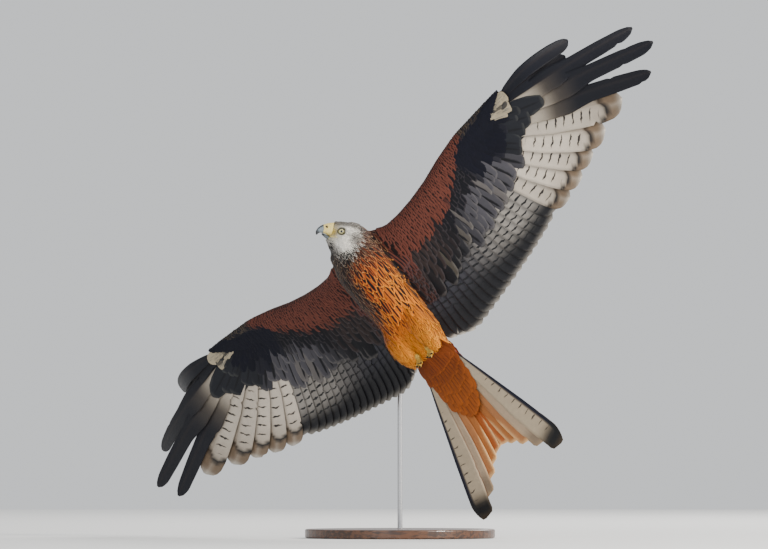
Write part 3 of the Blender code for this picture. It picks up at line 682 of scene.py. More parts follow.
def tailRootShell(depth):
    return shellOf([tailToBird(ovalRing((x, 0, 0), acrossBody, upBody, wide - depth, tall - depth, 28))
                    for x, wide, tall in smoothRows(tailRootSections, 4)])


eye = {
    "place": (4.5, 16.6, 4.0),
    "radius": 7.0,
    "open": (6.6, 4.7),
    "tiltDeg": -6,
    "lidRadius": 8.9,
    "socket": (6.2, 8.8),
    "cornea": 0.35,
    "ballSides": 48,
    "ballRings": 44,
    "lidSides": 72,
}
faceForms = (
    # place from the eye along and up, reach along and up, height: brow, hollow before the eye, cheek
    (1.0, 10.5, 9.0, 2.8, 2.1),
    (12.5, -1.0, 5.0, 6.0, -1.6),
    (-6, -14, 10.0, 7.0, 1.2),
)


def shapeFace(points):
    # eye sockets and the forms round them, moved into the smooth skin of the head
    local = birdToHead(points)
    eyeX, eyeY, eyeZ = eye["place"]
    for side in (1, -1):
        near = (local[:, 1] * side > 6) & (np.abs(local[:, 0] - eyeX) < 24) & (np.abs(local[:, 2] - eyeZ) < 22)
        dx, dz = local[:, 0] - eyeX, local[:, 2] - eyeZ
        socket = (1 - ease(np.hypot(dx, dz), *eye["socket"])) * near
        local[:, 1] += (side * (eyeY + 1.5) - local[:, 1]) * socket
        for ahead, up, long, tall, height in faceForms:
            local[:, 1] += side * height * (mound(dx - ahead, dz - up, long, tall) * near)
    return headToBird(local)


def makeSkin():
    shells = [torsoShell(flesh["bodyDepth"]), neckShell(flesh["neckDepth"]), headShell(flesh["headDepth"]),
              tailRootShell(flesh["tailDepth"])]
    for side in (1, -1):
        shells += [thighShell(side, flesh["thighDepth"]), armShell(side, flesh["armDepth"])]
    points, faces = gathered(shells)
    mesh = bpy.data.meshes.new("skinForms")
    mesh.from_pydata((points * 0.001).tolist(), [], faces)
    turnFacesOut(mesh)
    rough = placed("skinForms", mesh)
    joined = rough.modifiers.new("joined", "REMESH")
    joined.mode = "VOXEL"
    joined.voxel_size = flesh["voxel"] * 0.001
    eased = rough.modifiers.new("eased", "SMOOTH")
    eased.iterations = flesh["smoothing"]
    eased.factor = 0.5
    done = bpy.data.meshes.new_from_object(rough.evaluated_get(bpy.context.evaluated_depsgraph_get()))
    bpy.data.objects.remove(rough, do_unlink=True)
    done.name = "skin"
    flat = np.empty(len(done.vertices) * 3, np.float32)
    done.vertices.foreach_get("co", flat)
    birdPoints = shapeFace(flat.reshape(-1, 3).astype(float) * 1000)
    done.vertices.foreach_set("co", (birdPoints * 0.001).astype(np.float32).ravel())
    done.update()
    return placed("skin", done), birdPoints


def unwrapSkin(skin):
    # a real unwrap of the skin's own shape; the coat's patches find their places on it
    bpy.context.view_layer.objects.active = skin
    skin.select_set(True)
    bpy.ops.object.mode_set(mode="EDIT")
    bpy.ops.mesh.select_all(action="SELECT")
    bpy.ops.uv.smart_project(angle_limit=math.radians(66), island_margin=0.002)
    bpy.ops.object.mode_set(mode="OBJECT")
    skin.select_set(False)
    skin.data.uv_layers[0].name = "OFBake"


skin, skinPoints = makeSkin()
unwrapSkin(skin)
skinMesh = skin.data
skinFaces = [tuple(face.vertices) for face in skinMesh.polygons]
skinTree = BVHTree.FromPolygons([Vector(p) for p in skinPoints], skinFaces)
uvFlat = np.empty(len(skinMesh.loops) * 2, np.float32)
skinMesh.uv_layers[0].data.foreach_get("uv", uvFlat)
loopStarts = np.array([face.loop_start for face in skinMesh.polygons])
loopTotals = np.array([face.loop_total for face in skinMesh.polygons])
faceHomes = np.add.reduceat(uvFlat.reshape(-1, 2), loopStarts, axis=0) / loopTotals[:, None]
faceMiddles = np.array([skinPoints[list(face)].mean(0) for face in skinFaces])
print("skin ready:", len(skinFaces), "faces")


def onSkin(points):
    flat = np.asarray(points).reshape(-1, 3)
    spots, normals, faces = np.empty_like(flat), np.empty_like(flat), np.empty(len(flat), int)
    for at, point in enumerate(flat):
        spot, normal, face = skinTree.find_nearest(Vector(point))[:3]
        spots[at], normals[at], faces[at] = spot, normal, face
    shape = np.asarray(points).shape
    return spots.reshape(shape), normals.reshape(shape), faces.reshape(shape[:-1])


def homesOf(points):
    return faceHomes[onSkin(points)[2]]


# colours of the plumage
paint = {name: linearColour(code) ** featherLook["tonePower"] for name, code in {
    "faceWhite": "#efebe3", "loreCream": "#ddc66e", "earGrey": "#8f8b87", "crownGrey": "#a9a49d",
    "crownStreak": "#332e2c", "napeGrey": "#8b8480",
    "neckBrown": "#4f3e39", "neckStreak": "#1c1616", "neckPale": "#b59e85",
    # the side brown is the axillaries' own brown and also painted shade on the body's right side
    "breastRufous": "#ad6427", "breastStreak": "#1f1512", "breastBuff": "#d9a04a", "brownAndSideShade": "#5d4037",
    "bellyOrange": "#c77c15", "bellyStreak": "#55290f", "bellyPale": "#e2a549",
    "ventGold": "#d08f24", "ventPale": "#ebbb55", "coverRufous": "#8d5212", "coverOrange": "#b5732a",
    "mantleBrown": "#503a2e", "mantleStreak": "#221a18", "mantleEdge": "#b5743f", "rumpRufous": "#a55a28",
    "liningMaroon": "#7d5044", "liningDark": "#2a1b1b", "liningEdge": "#93675a",
    "bandBlack": "#191a29", "bandEdge": "#6a6468", "bandBrown": "#4a3f3d",
    "greaterGrey": "#67656a", "greaterEdge": "#928e8b", "greaterDark": "#2b2b31",
    # the navy tones are black with a painted blue reflection of the sky
    "carpalBlackSkyTint": "#0d1330", "carpalEdge": "#2b2e3c", "handGrey": "#3a3c43", "handEdge": "#85847f",
    "edgeBeige": "#b5ab98", "edgeOlive": "#6e6355",
    "secondaryPale": "#a29d97", "secondaryGrey": "#4f4e55", "secondaryBar": "#25252a",
    "secondaryDark": "#2a292f", "secondaryTip": "#cfc9c0",
    "windowPale": "#cfc6ba", "windowBar": "#453d3b", "windowBrown": "#85735f", "windowLine": "#2e2a2b",
    "fingerBlackSkyTint": "#0b122b", "fingerWeb": "#6f675f", "fingerBase": "#c2b9ac",
    "upperRufous": "#84512f", "upperDark": "#2a211f", "upperBuff": "#c99f6c", "upperBrown": "#40342e",
    "upperBlack": "#1b191c",
    "tailBeige": "#b7aa97", "tailBar": "#352c2b", "tailBlackSkyTint": "#101738", "tailBlack": "#17161a",
    "tailOrange": "#b8691a", "tailTan": "#b98a56", "tailFringe": "#f6d5a6", "tailUpper": "#b9602a",
}.items()}


def solid(name, count):
    return np.tile(paint[name], (count, 1))


def cover(look, mask, ground=None, mark=None, fringe=None, amounts=None):
    # lays colours, by name or value, and streak, bar and fringe amounts over a look
    for at, value in enumerate((ground, mark, fringe, amounts)):
        if value is not None:
            look[at] = mixes(mask, look[at], paint[value] if isinstance(value, str) else value)


def bodyColours(points):
    # ground, mark and fringe colours with streak, bar and fringe amounts
    x, y, z = points.T
    local = birdToHead(points)
    hx, hy, hz = local[:, 0], np.abs(local[:, 1]), local[:, 2]
    rows = len(points)
    back = ease(z, 8, 24)
    below = 1 - back
    # golden on its left flank, browner on its right, and orange toward the vent; the brown and the darker fringes on
    # its right are painted shade, and the gold on its left flank is painted light
    side = ease(y - 0.17 * x, -14, 16)
    orange = mixes(side, mixes(0.5, paint["brownAndSideShade"], paint["bellyOrange"]), paint["bellyOrange"])
    look = [
        mixes(ease(-x, 62, 130), mixes(side, paint["brownAndSideShade"], paint["breastRufous"]), orange),
        mixes(ease(-x, 95, 160), paint["breastStreak"], paint["bellyStreak"]),
        mixes(ease(-x, 70, 130), mixes(side, paint["neckPale"] * 0.6, paint["breastBuff"]), paint["bellyPale"]),
        mixes(ease(-x, 85, 180), (0.46, 0, 0.8), (0.14, 0, 0.6)),
    ]
    # painted light: gold, with its own streak and fringe amounts, laid over the left flank
    flank = ease(y, 16, 44) * below * ease(-x, 6, 60)
    cover(look, flank * 0.6, "ventGold")
    cover(look, flank * 0.4, amounts=(0.40, 0, 0.85))
    cover(look, ease(-x, 150, 200) * below, "ventGold", fringe="ventPale")
    cover(look, ease(-x, 238, 262) * below, "coverRufous")
    # the row of mantle feathers that shows beside the flank
    shoulder = ease(np.abs(y), 44, 54) * ease(z, -26, -4) * below
    cover(look, shoulder * 0.8, "mantleBrown")
    cover(look, shoulder, mark="mantleStreak")
    rump = ease(-x, 160, 220)
    cover(look, back, mixes(rump, paint["mantleBrown"], paint["rumpRufous"]), "mantleStreak", "mantleEdge",
          mixes(rump, (0.5, 0, 0.95), (0.2, 0, 0.7)))
    # neck, dark in front and buff and grey at the sides
    neck = ease(x, -26, 10)
    warm = mixes(0.22, paint["neckBrown"], paint["breastRufous"])
    edging = mixes(0.55, paint["neckBrown"], paint["neckPale"])
    cover(look, neck, mixes(ease(y, 14, 34), paint["neckBrown"], warm), "neckStreak",
          mixes(ease(y, -10, 30), edging, paint["neckPale"]), (0.46, 0, 1.0))
    cover(look, neck * ease(z, -6, 14), "napeGrey")
    # head, white and cream with grey on its crown, ears and throat
    away = np.sqrt((hx + 2) ** 2 + (hz * 0.92) ** 2 + (hy * 0.35) ** 2)
    pale = 1 - ease(away + 4 * np.sin(hx * 0.7 + hz * 0.9) + 4 * ease(-hz, 24, 40) + 9 * ease(-hx, 12, 32), 31, 48)
    crown = ease(hz, 11, 21)
    forehead = mound(hx - 17, hz - 21, 8, 7)
    nape = ease(-hx, 20, 36) * ease(hz, -4, 10)
    ear = mound(hx + 21, hz + 5, 11, 12)
    behindEye = mound(hx + 7, hz + 1, 6, 2.6)
    lore = mound(hx - 20, hz - 2, 8, 13)
    beforeEye = mound(hx - 13.2, hz - 2, 1.8, 5)
    # painted shade: grey at the chin, and in the list below, grey toward the underside of the head
    chin = np.maximum(ease(-hz, 20, 26) * ease(hx, 2, 14), ease(-hz, 26, 42) * 0.8)
    throat = ease(-hz, 13, 21) * ease(hx - 34 - (hz + 15) * 0.32, -19, -8)
    head = mixes(crown, paint["faceWhite"], paint["crownGrey"])
    for mask, share, tone, light in (
            (forehead, 0.45, "earGrey", 1), (nape, 0.75, "earGrey", 1), (ear, 0.9, "earGrey", 0.7),
            (ease(-hz, 20, 44), 0.55, "earGrey", 0.8), (behindEye, 0.45, "earGrey", 1),
            (lore, 0.95, "loreCream", 1), (beforeEye, 0.6, "edgeOlive", 1), (chin, 0.6, "napeGrey", 1),
            (throat, 0.8, "napeGrey", 1)):
        head = mixes(mask * share, head, paint[tone] * light)
    head = head * (0.80 + 0.3 * dice.random((rows, 1)))
    streaks = 0.10 + 0.45 * crown + 0.40 * nape + 0.34 * ear + 0.34 * ease(-hz, 22, 38) + 0.2 * ease(-hx, 4, 22)
    streaks = (streaks + 0.5 * ease(away, 24, 42) + 0.4 * throat) * (1 - 0.9 * lore)
    cover(look, pale, head, "crownStreak", "faceWhite", np.stack([streaks, 0 * streaks, 0 * streaks + 0.35], -1))
    # no two streaks are quite as broad
    look[3][:, 0] *= dice.uniform(0.55, 1.35, rows)
    return look


coat = {
    "candidates": 60000,
    "spacing": {"face": 1.45, "head": 1.9, "neck": 3.5, "body": 6.3, "thigh": 3.6},
    "length": {"face": 3.6, "head": 6.8, "neck": 25.0, "body": 46.0, "thigh": 30.0},
    "half": {"face": 0.9, "head": 1.4, "neck": 2.9, "body": 5.7, "thigh": 3.2},
    "lift": {"face": 0.5, "head": 0.9, "neck": 1.8, "body": 2.6, "thigh": 3.4},
    "sway": {"face": 0.10, "head": 0.12, "neck": 0.14, "body": 0.13, "thigh": 0.26},
    "packing": ((-300, -60, 10, 100), (-131, -35, 10, 100)),
    "cell": 6.0,
}


def coatZones(points):
    local = birdToHead(points)
    hx, hz = local[:, 0], local[:, 2]
    far = np.sqrt((hx + 2) ** 2 + hz ** 2 + (local[:, 1] * 0.5) ** 2)
    face = ease(hx, -6, 12) * (1 - ease(far, 22, 34))
    head = (1 - ease(far, 26, 46)) * (1 - face)
    neck = ease(points[:, 0], -34, 6) * (1 - face - head)
    thighs = ease(-points[:, 0], 135, 170) * ease(-points[:, 2], 18, 30)
    thigh = thighs * (1 - face - head - neck)
    return {"face": face, "head": head, "neck": neck, "thigh": thigh, "body": 1 - face - head - neck - thigh}


def byZone(zones, key):
    return sum(zones[name] * coat[key][name] for name in zones)


def coatLie(points, normals):
    # back from the bill, down the neck and along the body to the tail
    local = birdToHead(points)
    headBack = -headTurn[:, 0] - 0.18 * headTurn[:, 2]
    aside = np.sign(local[:, 1]) * ease(local[:, 0], 4, 20)
    outward = headTurn[:, 1][None] * (aside * 0.35)[:, None]
    bodyBack = np.array([-1.0, 0.0, 0.04])
    onHead = ease(local[:, 2], -24, -2) * ease(local[:, 0], -44, -16)
    onHead = np.maximum(onHead, ease(local[:, 0], -2, 16) * ease(local[:, 2], -26, -14))
    direction = mixes(onHead, bodyBack[None] + 0 * points, headBack[None] + outward)
    thighs = ease(-points[:, 0], 135, 165) * ease(-points[:, 2], 20, 32)
    direction = direction + thighs[:, None] * np.array([0, 0, -0.25])
    direction = direction - normals * (direction * normals).sum(-1, keepdims=True)
    return unit(direction)


def bareSkin(points):
    # the coat leaves the eyes, the bill and the arms free
    local = birdToHead(points)
    eyes = np.hypot(local[:, 0] - eye["place"][0] - 1.0, local[:, 2] - eye["place"][2]) < 8.7
    eyes &= np.abs(local[:, 1]) > 8
    bill = (local[:, 0] > 21.2) & (local[:, 2] > -15 + 0.9 * (local[:, 0] - 22))
    out = np.abs(points[:, 1])
    thick = wingHalf(points[:, 0], out) + 3
    onArm = (out > 57) & (np.abs(points[:, 2] - wingHeight(points[:, 0], out)) < thick) & (points[:, 0] > -120)
    underTail = (points[:, 0] < -240) & (points[:, 2] < 4)
    return eyes | bill | onArm | underTail | (out > 75)


def scatterRoots():
    # roots are closer together where the feathers are small
    zones = coatZones(faceMiddles)
    spacing = byZone(zones, "spacing")
    corners = np.array([face if len(face) == 4 else face + face[-1:] for face in skinFaces])
    quad = skinPoints[corners]
    areas = 0.5 * np.linalg.norm(np.cross(quad[:, 2] - quad[:, 0], quad[:, 3] - quad[:, 1]), axis=-1)
    weights = areas / spacing ** 2 * ~bareSkin(faceMiddles)
    picks = dice.choice(len(quad), coat["candidates"], p=weights / weights.sum())
    u, v = dice.random((2, len(picks), 1))
    spots = (quad[picks, 0] * (1 - u) + quad[picks, 1] * u) * (1 - v)
    spots = spots + (quad[picks, 3] * (1 - u) + quad[picks, 2] * u) * v
    spots = spots[~bareSkin(spots)]
    gaps = byZone(coatZones(spots), "spacing")
    # behind the head the rows stand further apart than the feathers of one row
    packed = spots * 1.0
    packed[:, 0] = np.interp(spots[:, 0], *coat["packing"])
    steps = list(itertools.product((-1, 0, 1), repeat=3))
    kept, boxes = [], {}
    for at, (spot, gap) in enumerate(zip(packed, gaps)):
        home = tuple((spot // coat["cell"]).astype(int))
        near = (packed[other] for dx, dy, dz in steps
                for other in boxes.get((home[0] + dx, home[1] + dy, home[2] + dz), ()))
        if all(abs(other[0] - spot[0]) >= gap or ((other - spot) ** 2).sum() >= gap * gap for other in near):
            boxes.setdefault(home, []).append(at)
            kept.append(at)
    return spots[kept]


bodyShape = np.array(((0, 0.45), (0.22, 0.86), (0.48, 1.0), (0.74, 0.88), (0.90, 0.55), (1.0, 0.08)))
bodyColumns = np.array((-1.0, -0.5, 0.0, 0.5, 1.0))


def layOnSkin(roots, lengths, lifts, sway, shape):
    spots, normals, faces = onSkin(roots)
    direction = coatLie(spots, normals)
    side = np.cross(normals, direction)
    swing = dice.normal(0, 1, len(roots)) * sway
    direction = unit(direction * np.cos(swing)[:, None] + side * np.sin(swing)[:, None])
    along = shape[:, 0]
    line = spots[:, None] + direction[:, None] * (along[None, :, None] * lengths[:, None, None])
    nearby, nearNormals = onSkin(line)[:2]
    over = unit(nearNormals.mean(1, keepdims=True) * 0.75 + nearNormals * 0.25)
    rise = -0.5 + (0.5 + lifts[:, None]) * (0.25 + 0.75 * along[None]) ** 1.2
    # long feathers bridge small hollows instead of following them
    spine = nearby + over * rise[..., None]
    outward = unit(np.cross(direction[:, None] + 0 * over, over))
    return spine, outward, over, faceHomes[faces]


def coverBody():
    roots = scatterRoots()
    zones = coatZones(roots)
    lengths = byZone(zones, "length") * dice.uniform(0.82, 1.18, len(roots))
    halves = byZone(zones, "half") * dice.uniform(0.85, 1.15, len(roots))
    lifts = byZone(zones, "lift") * dice.uniform(0.7, 1.3, len(roots))
    local = birdToHead(roots)
    toEye = np.hypot(local[:, 0] - eye["place"][0], local[:, 2] - eye["place"][2])
    small = 0.55 + 0.45 * ease(toEye, 8, 16)
    lengths, halves = lengths * small, halves * (0.7 + 0.3 * small)
    toBill = np.clip((local[:, 0] - 12) / 12, 0, 1) * (np.abs(local[:, 2] - 4) < 20)
    lengths = lengths * (1 - 0.35 * toBill) * (1 - 0.45 * ease(-roots[:, 0], 205, 248))
    spine, outward, over, homes = layOnSkin(roots, lengths, lifts, byZone(zones, "sway"), bodyShape)
    ground, mark, fringe, amounts = bodyColours(roots)
    lots = dice.random(len(roots))
    wide = halves[:, None] * bodyShape[None, :, 1]
    sag = wide * 0.22
    grid = vaneGrid(spine, outward, over, wide, wide, bodyColumns, sag, 0.16)
    span = np.stack([halves, lengths, np.full(len(roots), 12.0)], -1)
    head = zones["face"] + zones["head"] > 0.5
    neck = ~head & (zones["neck"] > 0.5)
    back = ~head & ~neck & (ease(roots[:, 2], 2, 18) > 0.5)
    groups = (("headCoat", head, facePlumage), ("neckCoat", neck, bodyPlumage), ("backCoat", back, bodyPlumage),
              ("bellyCoat", ~head & ~neck & ~back, bodyPlumage))
    made = []
    for name, chosen, material in groups:
        tones = [tone[chosen] for tone in (ground, mark, fringe)]
        made.append(plumeMesh(name, grid[chosen], bodyColumns, bodyShape[:, 0], tones, amounts[chosen], span[chosen],
                              lots[chosen], homes[chosen], rootPatch, material))
        print(name, int(chosen.sum()), "feathers")
    return made


coatPieces = coverBody()


# wings: guide lines from the leading edge through each flight feather's root to its tip
flight = {
    "secondaries": 18,
    "secondaryRoots": ((302, 70), (64, 84)),
    "secondaryTips": ((384, -187), (62, -279)),
    "tipBow": 0.75,
    "tertialFrom": 0.86,
    "tertialShortening": 25,
    "secondaryWidth": 47,
    "secondaryLean": 14.5,
    "primaryRoots": ((320, -6), (422, 54)),
    "primaryTips": ((421, -188), (468, -172), (515, -151), (567, -130), (635, -106),
                    (719, -103), (754, -58), (716, -3), (575, 40), (590, 64)),
    "primaryLifts": (0, 0, 0, 0, 0, 0, 16, 60, 44, 66),
    "primaryWidths": (58, 58, 60, 64, 62, 51, 49, 47, 33, 31),
    "primaryBows": (0, 0, 0, 0, 2, 4, 4, 4, 7, 9),
    "primaryLeans": (12, 11.5, 11, 10, 9, 8, 7, 7, 7, 7),
    "outerShare": 0.36,
    "secondaryPeriod": 15.0,
    "primaryPeriod": 19.0,
    "stations": 44,
    "shaft": 0.85,
    "sag": 0.7,
}
roundBlade = np.array((
    (0, 0.12), (0.1, 0.34), (0.2, 0.6), (0.45, 0.92), (0.7, 1.0), (0.84, 0.99), (0.92, 0.88), (0.965, 0.68),
    (0.99, 0.4), (1, 0.1),
))
fingerBlade = np.array((
    (0, 0.12), (0.2, 0.7), (0.36, 0.94), (0.48, 1.0), (0.55, 0.84), (0.62, 0.69), (0.8, 0.64), (0.93, 0.55),
    (0.975, 0.38), (1, 0.08),
))
primaryCount = len(flight["primaryTips"])
secondaryLast = flight["secondaries"] - 1
vaneColumns = np.array((-1.0, -0.84, -0.55, -0.25, -0.06, 0.06, 0.35, 0.72, 1.0))


def secondaryLine(place):
    part = place / secondaryLast
    (wristY, wristBehind), (innerY, innerBehind) = flight["secondaryRoots"]
    rootY = wristY + (innerY - wristY) * part
    behind = wristBehind + (innerBehind - wristBehind) * part
    (outY, outX), (inY, inX) = flight["secondaryTips"]
    tipX = outX + (inX - outX) * part ** flight["tipBow"]
    tipX += flight["tertialShortening"] * max(0, part - flight["tertialFrom"]) / (1 - flight["tertialFrom"])
    return (rootY, float(wingStation(rootY)[0]) - behind), (outY + (inY - outY) * part, tipX)


def primaryLine(index):
    part = index / (primaryCount - 1)
    first, last = flight["primaryRoots"]
    root = (first[0] + (last[0] - first[0]) * part, first[1] + (last[1] - first[1]) * part)
    return root, flight["primaryTips"][index]


def wingGuides():
    rows = []
    for place in range(secondaryLast, -1, -1):
        root, tip = secondaryLine(place)
        rows.append((root[0] - 0.22 * (tip[0] - root[0]), root, tip, 0.46))
    for index in range(primaryCount):
        rows.append((300 + 140 * (index / (primaryCount - 1)) ** 0.9, *primaryLine(index), 0.40 - 0.016 * index))
    fronts = [(frontY, float(wingStation(frontY)[0]) + 0.5) for frontY, root, tip, reach in rows]
    roots, tips, reach = ([row[at] for row in rows] for at in (1, 2, 3))
    return np.array(fronts), np.array(roots), np.array(tips), np.array(reach)


guideFronts, guideRoots, guideTips, guideReach = wingGuides()
guideLast = len(guideFronts) - 1


def guideSpot(line, depth):
    # depth 0 is the leading edge, 1 the flight root, 2 the greater coverts' tips
    line = np.clip(line, 0, guideLast)
    at = np.minimum(line.astype(int), guideLast - 1)
    part = (line - at)[..., None]

    def blend(rows):
        return rows[at] * (1 - part) + rows[at + 1] * part

    front, root, tip = blend(guideFronts), blend(guideRoots), blend(guideTips)
    reach = blend(guideReach[:, None])
    depth = np.asarray(depth)[..., None]
    ahead = front + (root - front) * np.clip(depth, 0, 1)
    return ahead + (tip - root) * reach * np.maximum(depth - 1, 0)


def wingFrame(out, forward, height):
    spine = np.stack([forward, out, height], -1)
    ahead = unit(np.gradient(spine, axis=1))
    across = unit(np.stack([ahead[..., 1], -ahead[..., 0], 0 * ahead[..., 0]], -1))
    return spine, across, np.cross(across, ahead)


def leaned(across, rise, degrees):
    turn = np.radians(degrees)
    turn = np.asarray(turn).reshape(-1, 1, 1) if np.ndim(turn) else turn
    return across * np.cos(turn) + rise * np.sin(turn), rise * np.cos(turn) - across * np.sin(turn)


def mirrored(side, *fields):
    flip = np.array([1, side, 1.0])
    return [field * flip for field in fields]


def stripHomes(count, wide):
    return np.stack([0.02 + (np.arange(count) + 0.5) * wide, np.full(count, 0.5)], -1)


def vaneFields(count, along, cols):
    # place along and across the blade, and 0 on its upper or 1 on its under face, for each vertex
    shape = (count, len(along), 2, len(cols))
    v = np.broadcast_to(along[None, :, None, None], shape)
    c = np.broadcast_to(cols[None, None, None, :], shape)
    return v, c, np.broadcast_to(np.array([0.0, 1.0])[None, None, :, None], shape)


def flightColours(kinds, places, along, cols):
    # kinds: 0 secondary, 1 primary of the pale window, 2 fingered primary
    v, c, under = vaneFields(len(kinds), along, cols)
    kind = np.broadcast_to(np.asarray(kinds)[:, None, None, None], v.shape)
    place = np.broadcast_to(np.asarray(places, float)[:, None, None, None], v.shape)
    inner = ease(-c, -0.05, 0.12)

    # secondaries: pale beside the wrist and darker toward the body, with dark ends and a thin pale rim
    inward = ease(place / secondaryLast, 0.08, 0.7)
    low = mixes(inward, paint["secondaryPale"], paint["secondaryGrey"])
    low = mixes(ease(v + 0.05 * c ** 2, 0.70 - 0.2 * inward, 0.92 - 0.1 * inward), low, paint["secondaryDark"])
    rim = ease(v, 0.972 - 0.02 * ease(place, 13, 17), 0.99) * (0.45 + 0.55 * ease(place, 13, 16))
    low = mixes(rim, low, paint["secondaryTip"])
    high = mixes(ease(v, 0.965, 0.985) * 0.7, paint["upperBrown"], paint["secondaryTip"])
    ground = mixes(under, high, low)
    mark = mixes(under, paint["upperDark"], paint["secondaryBar"])
    barWeb = ease(-c, 0.3, 0.5) * (1 - ease(-c, 0.84, 0.98))
    bars = np.where(under > 0.5, 0.42, 0.3) * (1 - ease(v, 0.84, 0.92)) * np.where(under > 0.5, barWeb, 0.8)

    # primaries of the pale window: plain at the base, then short thin bars, a brown end and a pale rim
    window = kind == 1
    arch = v + 0.05 * (np.minimum(np.abs(c + 0.42), 0.5) / 0.5) ** 2
    low = mixes(ease(v, 0.62, 0.86) * 0.3, paint["windowPale"], paint["windowBrown"])
    low = mixes(ease(arch, 0.87, 0.90) * (0.9 - 0.35 * ease(-np.abs(c + 0.3), -0.3, 0)), low, paint["windowBrown"])
    low = mixes(ease(arch, 0.845, 0.87) * (1 - ease(arch, 0.885, 0.915)), low, paint["windowLine"])
    low = mixes(ease(v, 0.97, 0.99), low, paint["secondaryTip"])
    low = mixes((1 - inner) * 0.30, low, paint["windowBrown"])
    high = mixes(inner * (1 - ease(v, 0.45, 0.8)) * 0.55, paint["upperBrown"], paint["fingerWeb"])
    high = mixes(ease(v, 0.75, 0.95), high, paint["upperBlack"])
    ground = np.where(window[..., None], mixes(under, high, low), ground)
    mark = np.where(window[..., None], mixes(under, paint["upperDark"], paint["windowBar"]), mark)
    across = ease(-c, 0.02, 0.16) * (1 - ease(-c, 0.62, 0.86))
    thin = 0.32 * ease(v, 0.26, 0.42) * (1 - ease(v, 0.78, 0.84)) * across
    bars = np.where(window, np.where(under > 0.5, thin, 0.3 * (1 - ease(v, 0.8, 0.9))), bars)

    # fingered primaries: black with a painted blue reflection of the sky, with pale inner webs at the base of the first
    # three only
    finger = kind == 2
    first = 1 - ease(place, 7.2, 7.9)
    web = inner * (1 - ease(v, 0.36 - 0.03 * (place - 5), 0.56)) * first
    low = mixes(web * 0.85, paint["fingerBlackSkyTint"], paint["fingerWeb"])
    low = mixes(web * (1 - ease(v, 0.26 - 0.03 * (place - 5), 0.42)), low, paint["fingerBase"])
    high = mixes(inner * (1 - ease(v, 0.3, 0.55)) * 0.4, paint["upperBlack"], paint["fingerWeb"])
    ground = np.where(finger[..., None], mixes(under, high, low), ground)
    mark = np.where(finger[..., None], paint["fingerBlackSkyTint"], mark)
    bars = np.where(finger, 0.0, bars)

    # shafts show as a thin line of their own
    shaft = np.exp(-(c / 0.05) ** 2) * np.where(finger, 0.15, 0.35)
    ground = mixes(shaft, ground, np.where(under[..., None] > 0.5, paint["windowBrown"], paint["upperBlack"]))
    amounts = np.stack([0 * bars, bars, np.where(finger, 0.0, 0.18) * ease(v, 0.9, 1.0)], -1)
    return (ground, mark, paint["secondaryTip"]), amounts


def worn(grid, spine, depth):
    # a few splits in each blade's edge, as in worn vanes
    count, stations, width = (grid.shape[at] for at in (0, 1, 3))
    scale = np.ones((count, stations, width))
    for row in range(count):
        for at in dice.integers(6, stations - 2, dice.integers(1, 4)):
            edge = 0 if dice.random() < 0.65 else width - 1
            scale[row, at, edge] = dice.uniform(0.80, 0.92)
    cut = (1 - depth + depth * scale)[:, :, None, :, None]
    shaft = spine[:, :, None, None, :]
    return shaft + (grid - shaft) * cut


def flightFeathers(side, label):
    along = np.linspace(0, 1, flight["stations"]) ** 0.92
    rows = []
    for index in range(flight["secondaries"]):
        width = flight["secondaryWidth"] * (1 - 0.25 * (index / secondaryLast) ** 4)
        rows.append((secondaryLine(index), width, roundBlade, 0, 0, flight["secondaryLean"], 0, index))
    for index in range(primaryCount):
        rows.append((primaryLine(index), flight["primaryWidths"][index], fingerBlade if 5 <= index <= 7 else roundBlade,
                     flight["primaryLifts"][index], flight["primaryBows"][index], flight["primaryLeans"][index],
                     1 if index < 5 else 2, index))
    lines, widths, blades, bends, bows, leans, kinds, places = zip(*rows)
    count = len(lines)
    roots = np.array([line[0] for line in lines], float)
    tips = np.array([line[1] for line in lines], float)
    bows, bends, widths = (np.array(values, float)[:, None] for values in (bows, bends, widths))
    out = roots[:, :1] + (tips[:, :1] - roots[:, :1]) * along
    forward = roots[:, 1:] + (tips[:, 1:] - roots[:, 1:]) * along + 4 * bows * along * (1 - along)
    height = wingHeight(forward, out) + bends * np.maximum(0, (along - 0.4) / 0.6) ** 2
    spine, across, rise = wingFrame(out, forward, height)
    edge, over = leaned(across, rise, np.array(leans))
    share = np.array([np.interp(along, blade[:, 0], blade[:, 1]) for blade in blades])
    outer = widths * share * flight["outerShare"]
    inner = widths * share * (1 - flight["outerShare"])
    spine, edge, over = mirrored(side, spine, edge, over)
    grid = vaneGrid(spine, edge, over, outer, inner, vaneColumns, 0 * outer + flight["sag"], 0.0, flight["shaft"])
    grid = worn(grid, spine, 1.0)
    tones, amounts = flightColours(kinds, places, along, vaneColumns)
    lengths = np.linalg.norm(tips - roots, axis=-1)
    periods = np.where(np.array(kinds) == 0, flight["secondaryPeriod"], flight["primaryPeriod"])
    span = np.stack([widths[:, 0] * 0.5, lengths, periods], -1)
    return plumeMesh("flightFeathers_" + label, grid, vaneColumns, along, tones, amounts, span, dice.random(count),
                     stripHomes(count, 0.034), (0.031, 0.95), flightVanes, closed=True, mirrorFaces=side < 0)


# coverts in tiers, from the greater ones over the flight feathers forward to the leading edge
tiers = {
    # depth of root, depth of tip, how many, lift at the tip
    "rows": (
        (0.98, 2.02, 28, 1.6), (0.80, 1.62, 33, 1.7), (0.66, 1.34, 40, 1.7), (0.52, 1.12, 48, 1.7),
        (0.42, 0.96, 54, 1.6), (0.33, 0.81, 60, 1.5), (0.25, 0.67, 66, 1.4), (0.18, 0.54, 72, 1.3),
        (0.12, 0.42, 78, 1.2), (0.07, 0.32, 84, 1.1), (0.035, 0.22, 90, 1.0), (0.01, 0.13, 96, 0.8),
    ),
    "base": 0.3,
    "overlap": 1.06,
    "jitter": 0.15,
    "drift": 0.22,
}
covertShape = np.array(((0, 0.4), (0.25, 0.8), (0.52, 1.0), (0.74, 0.97), (0.88, 0.80), (0.965, 0.50), (1.0, 0.12)))
covertColumns = np.array((-1.0, -0.55, 0.0, 0.55, 1.0))


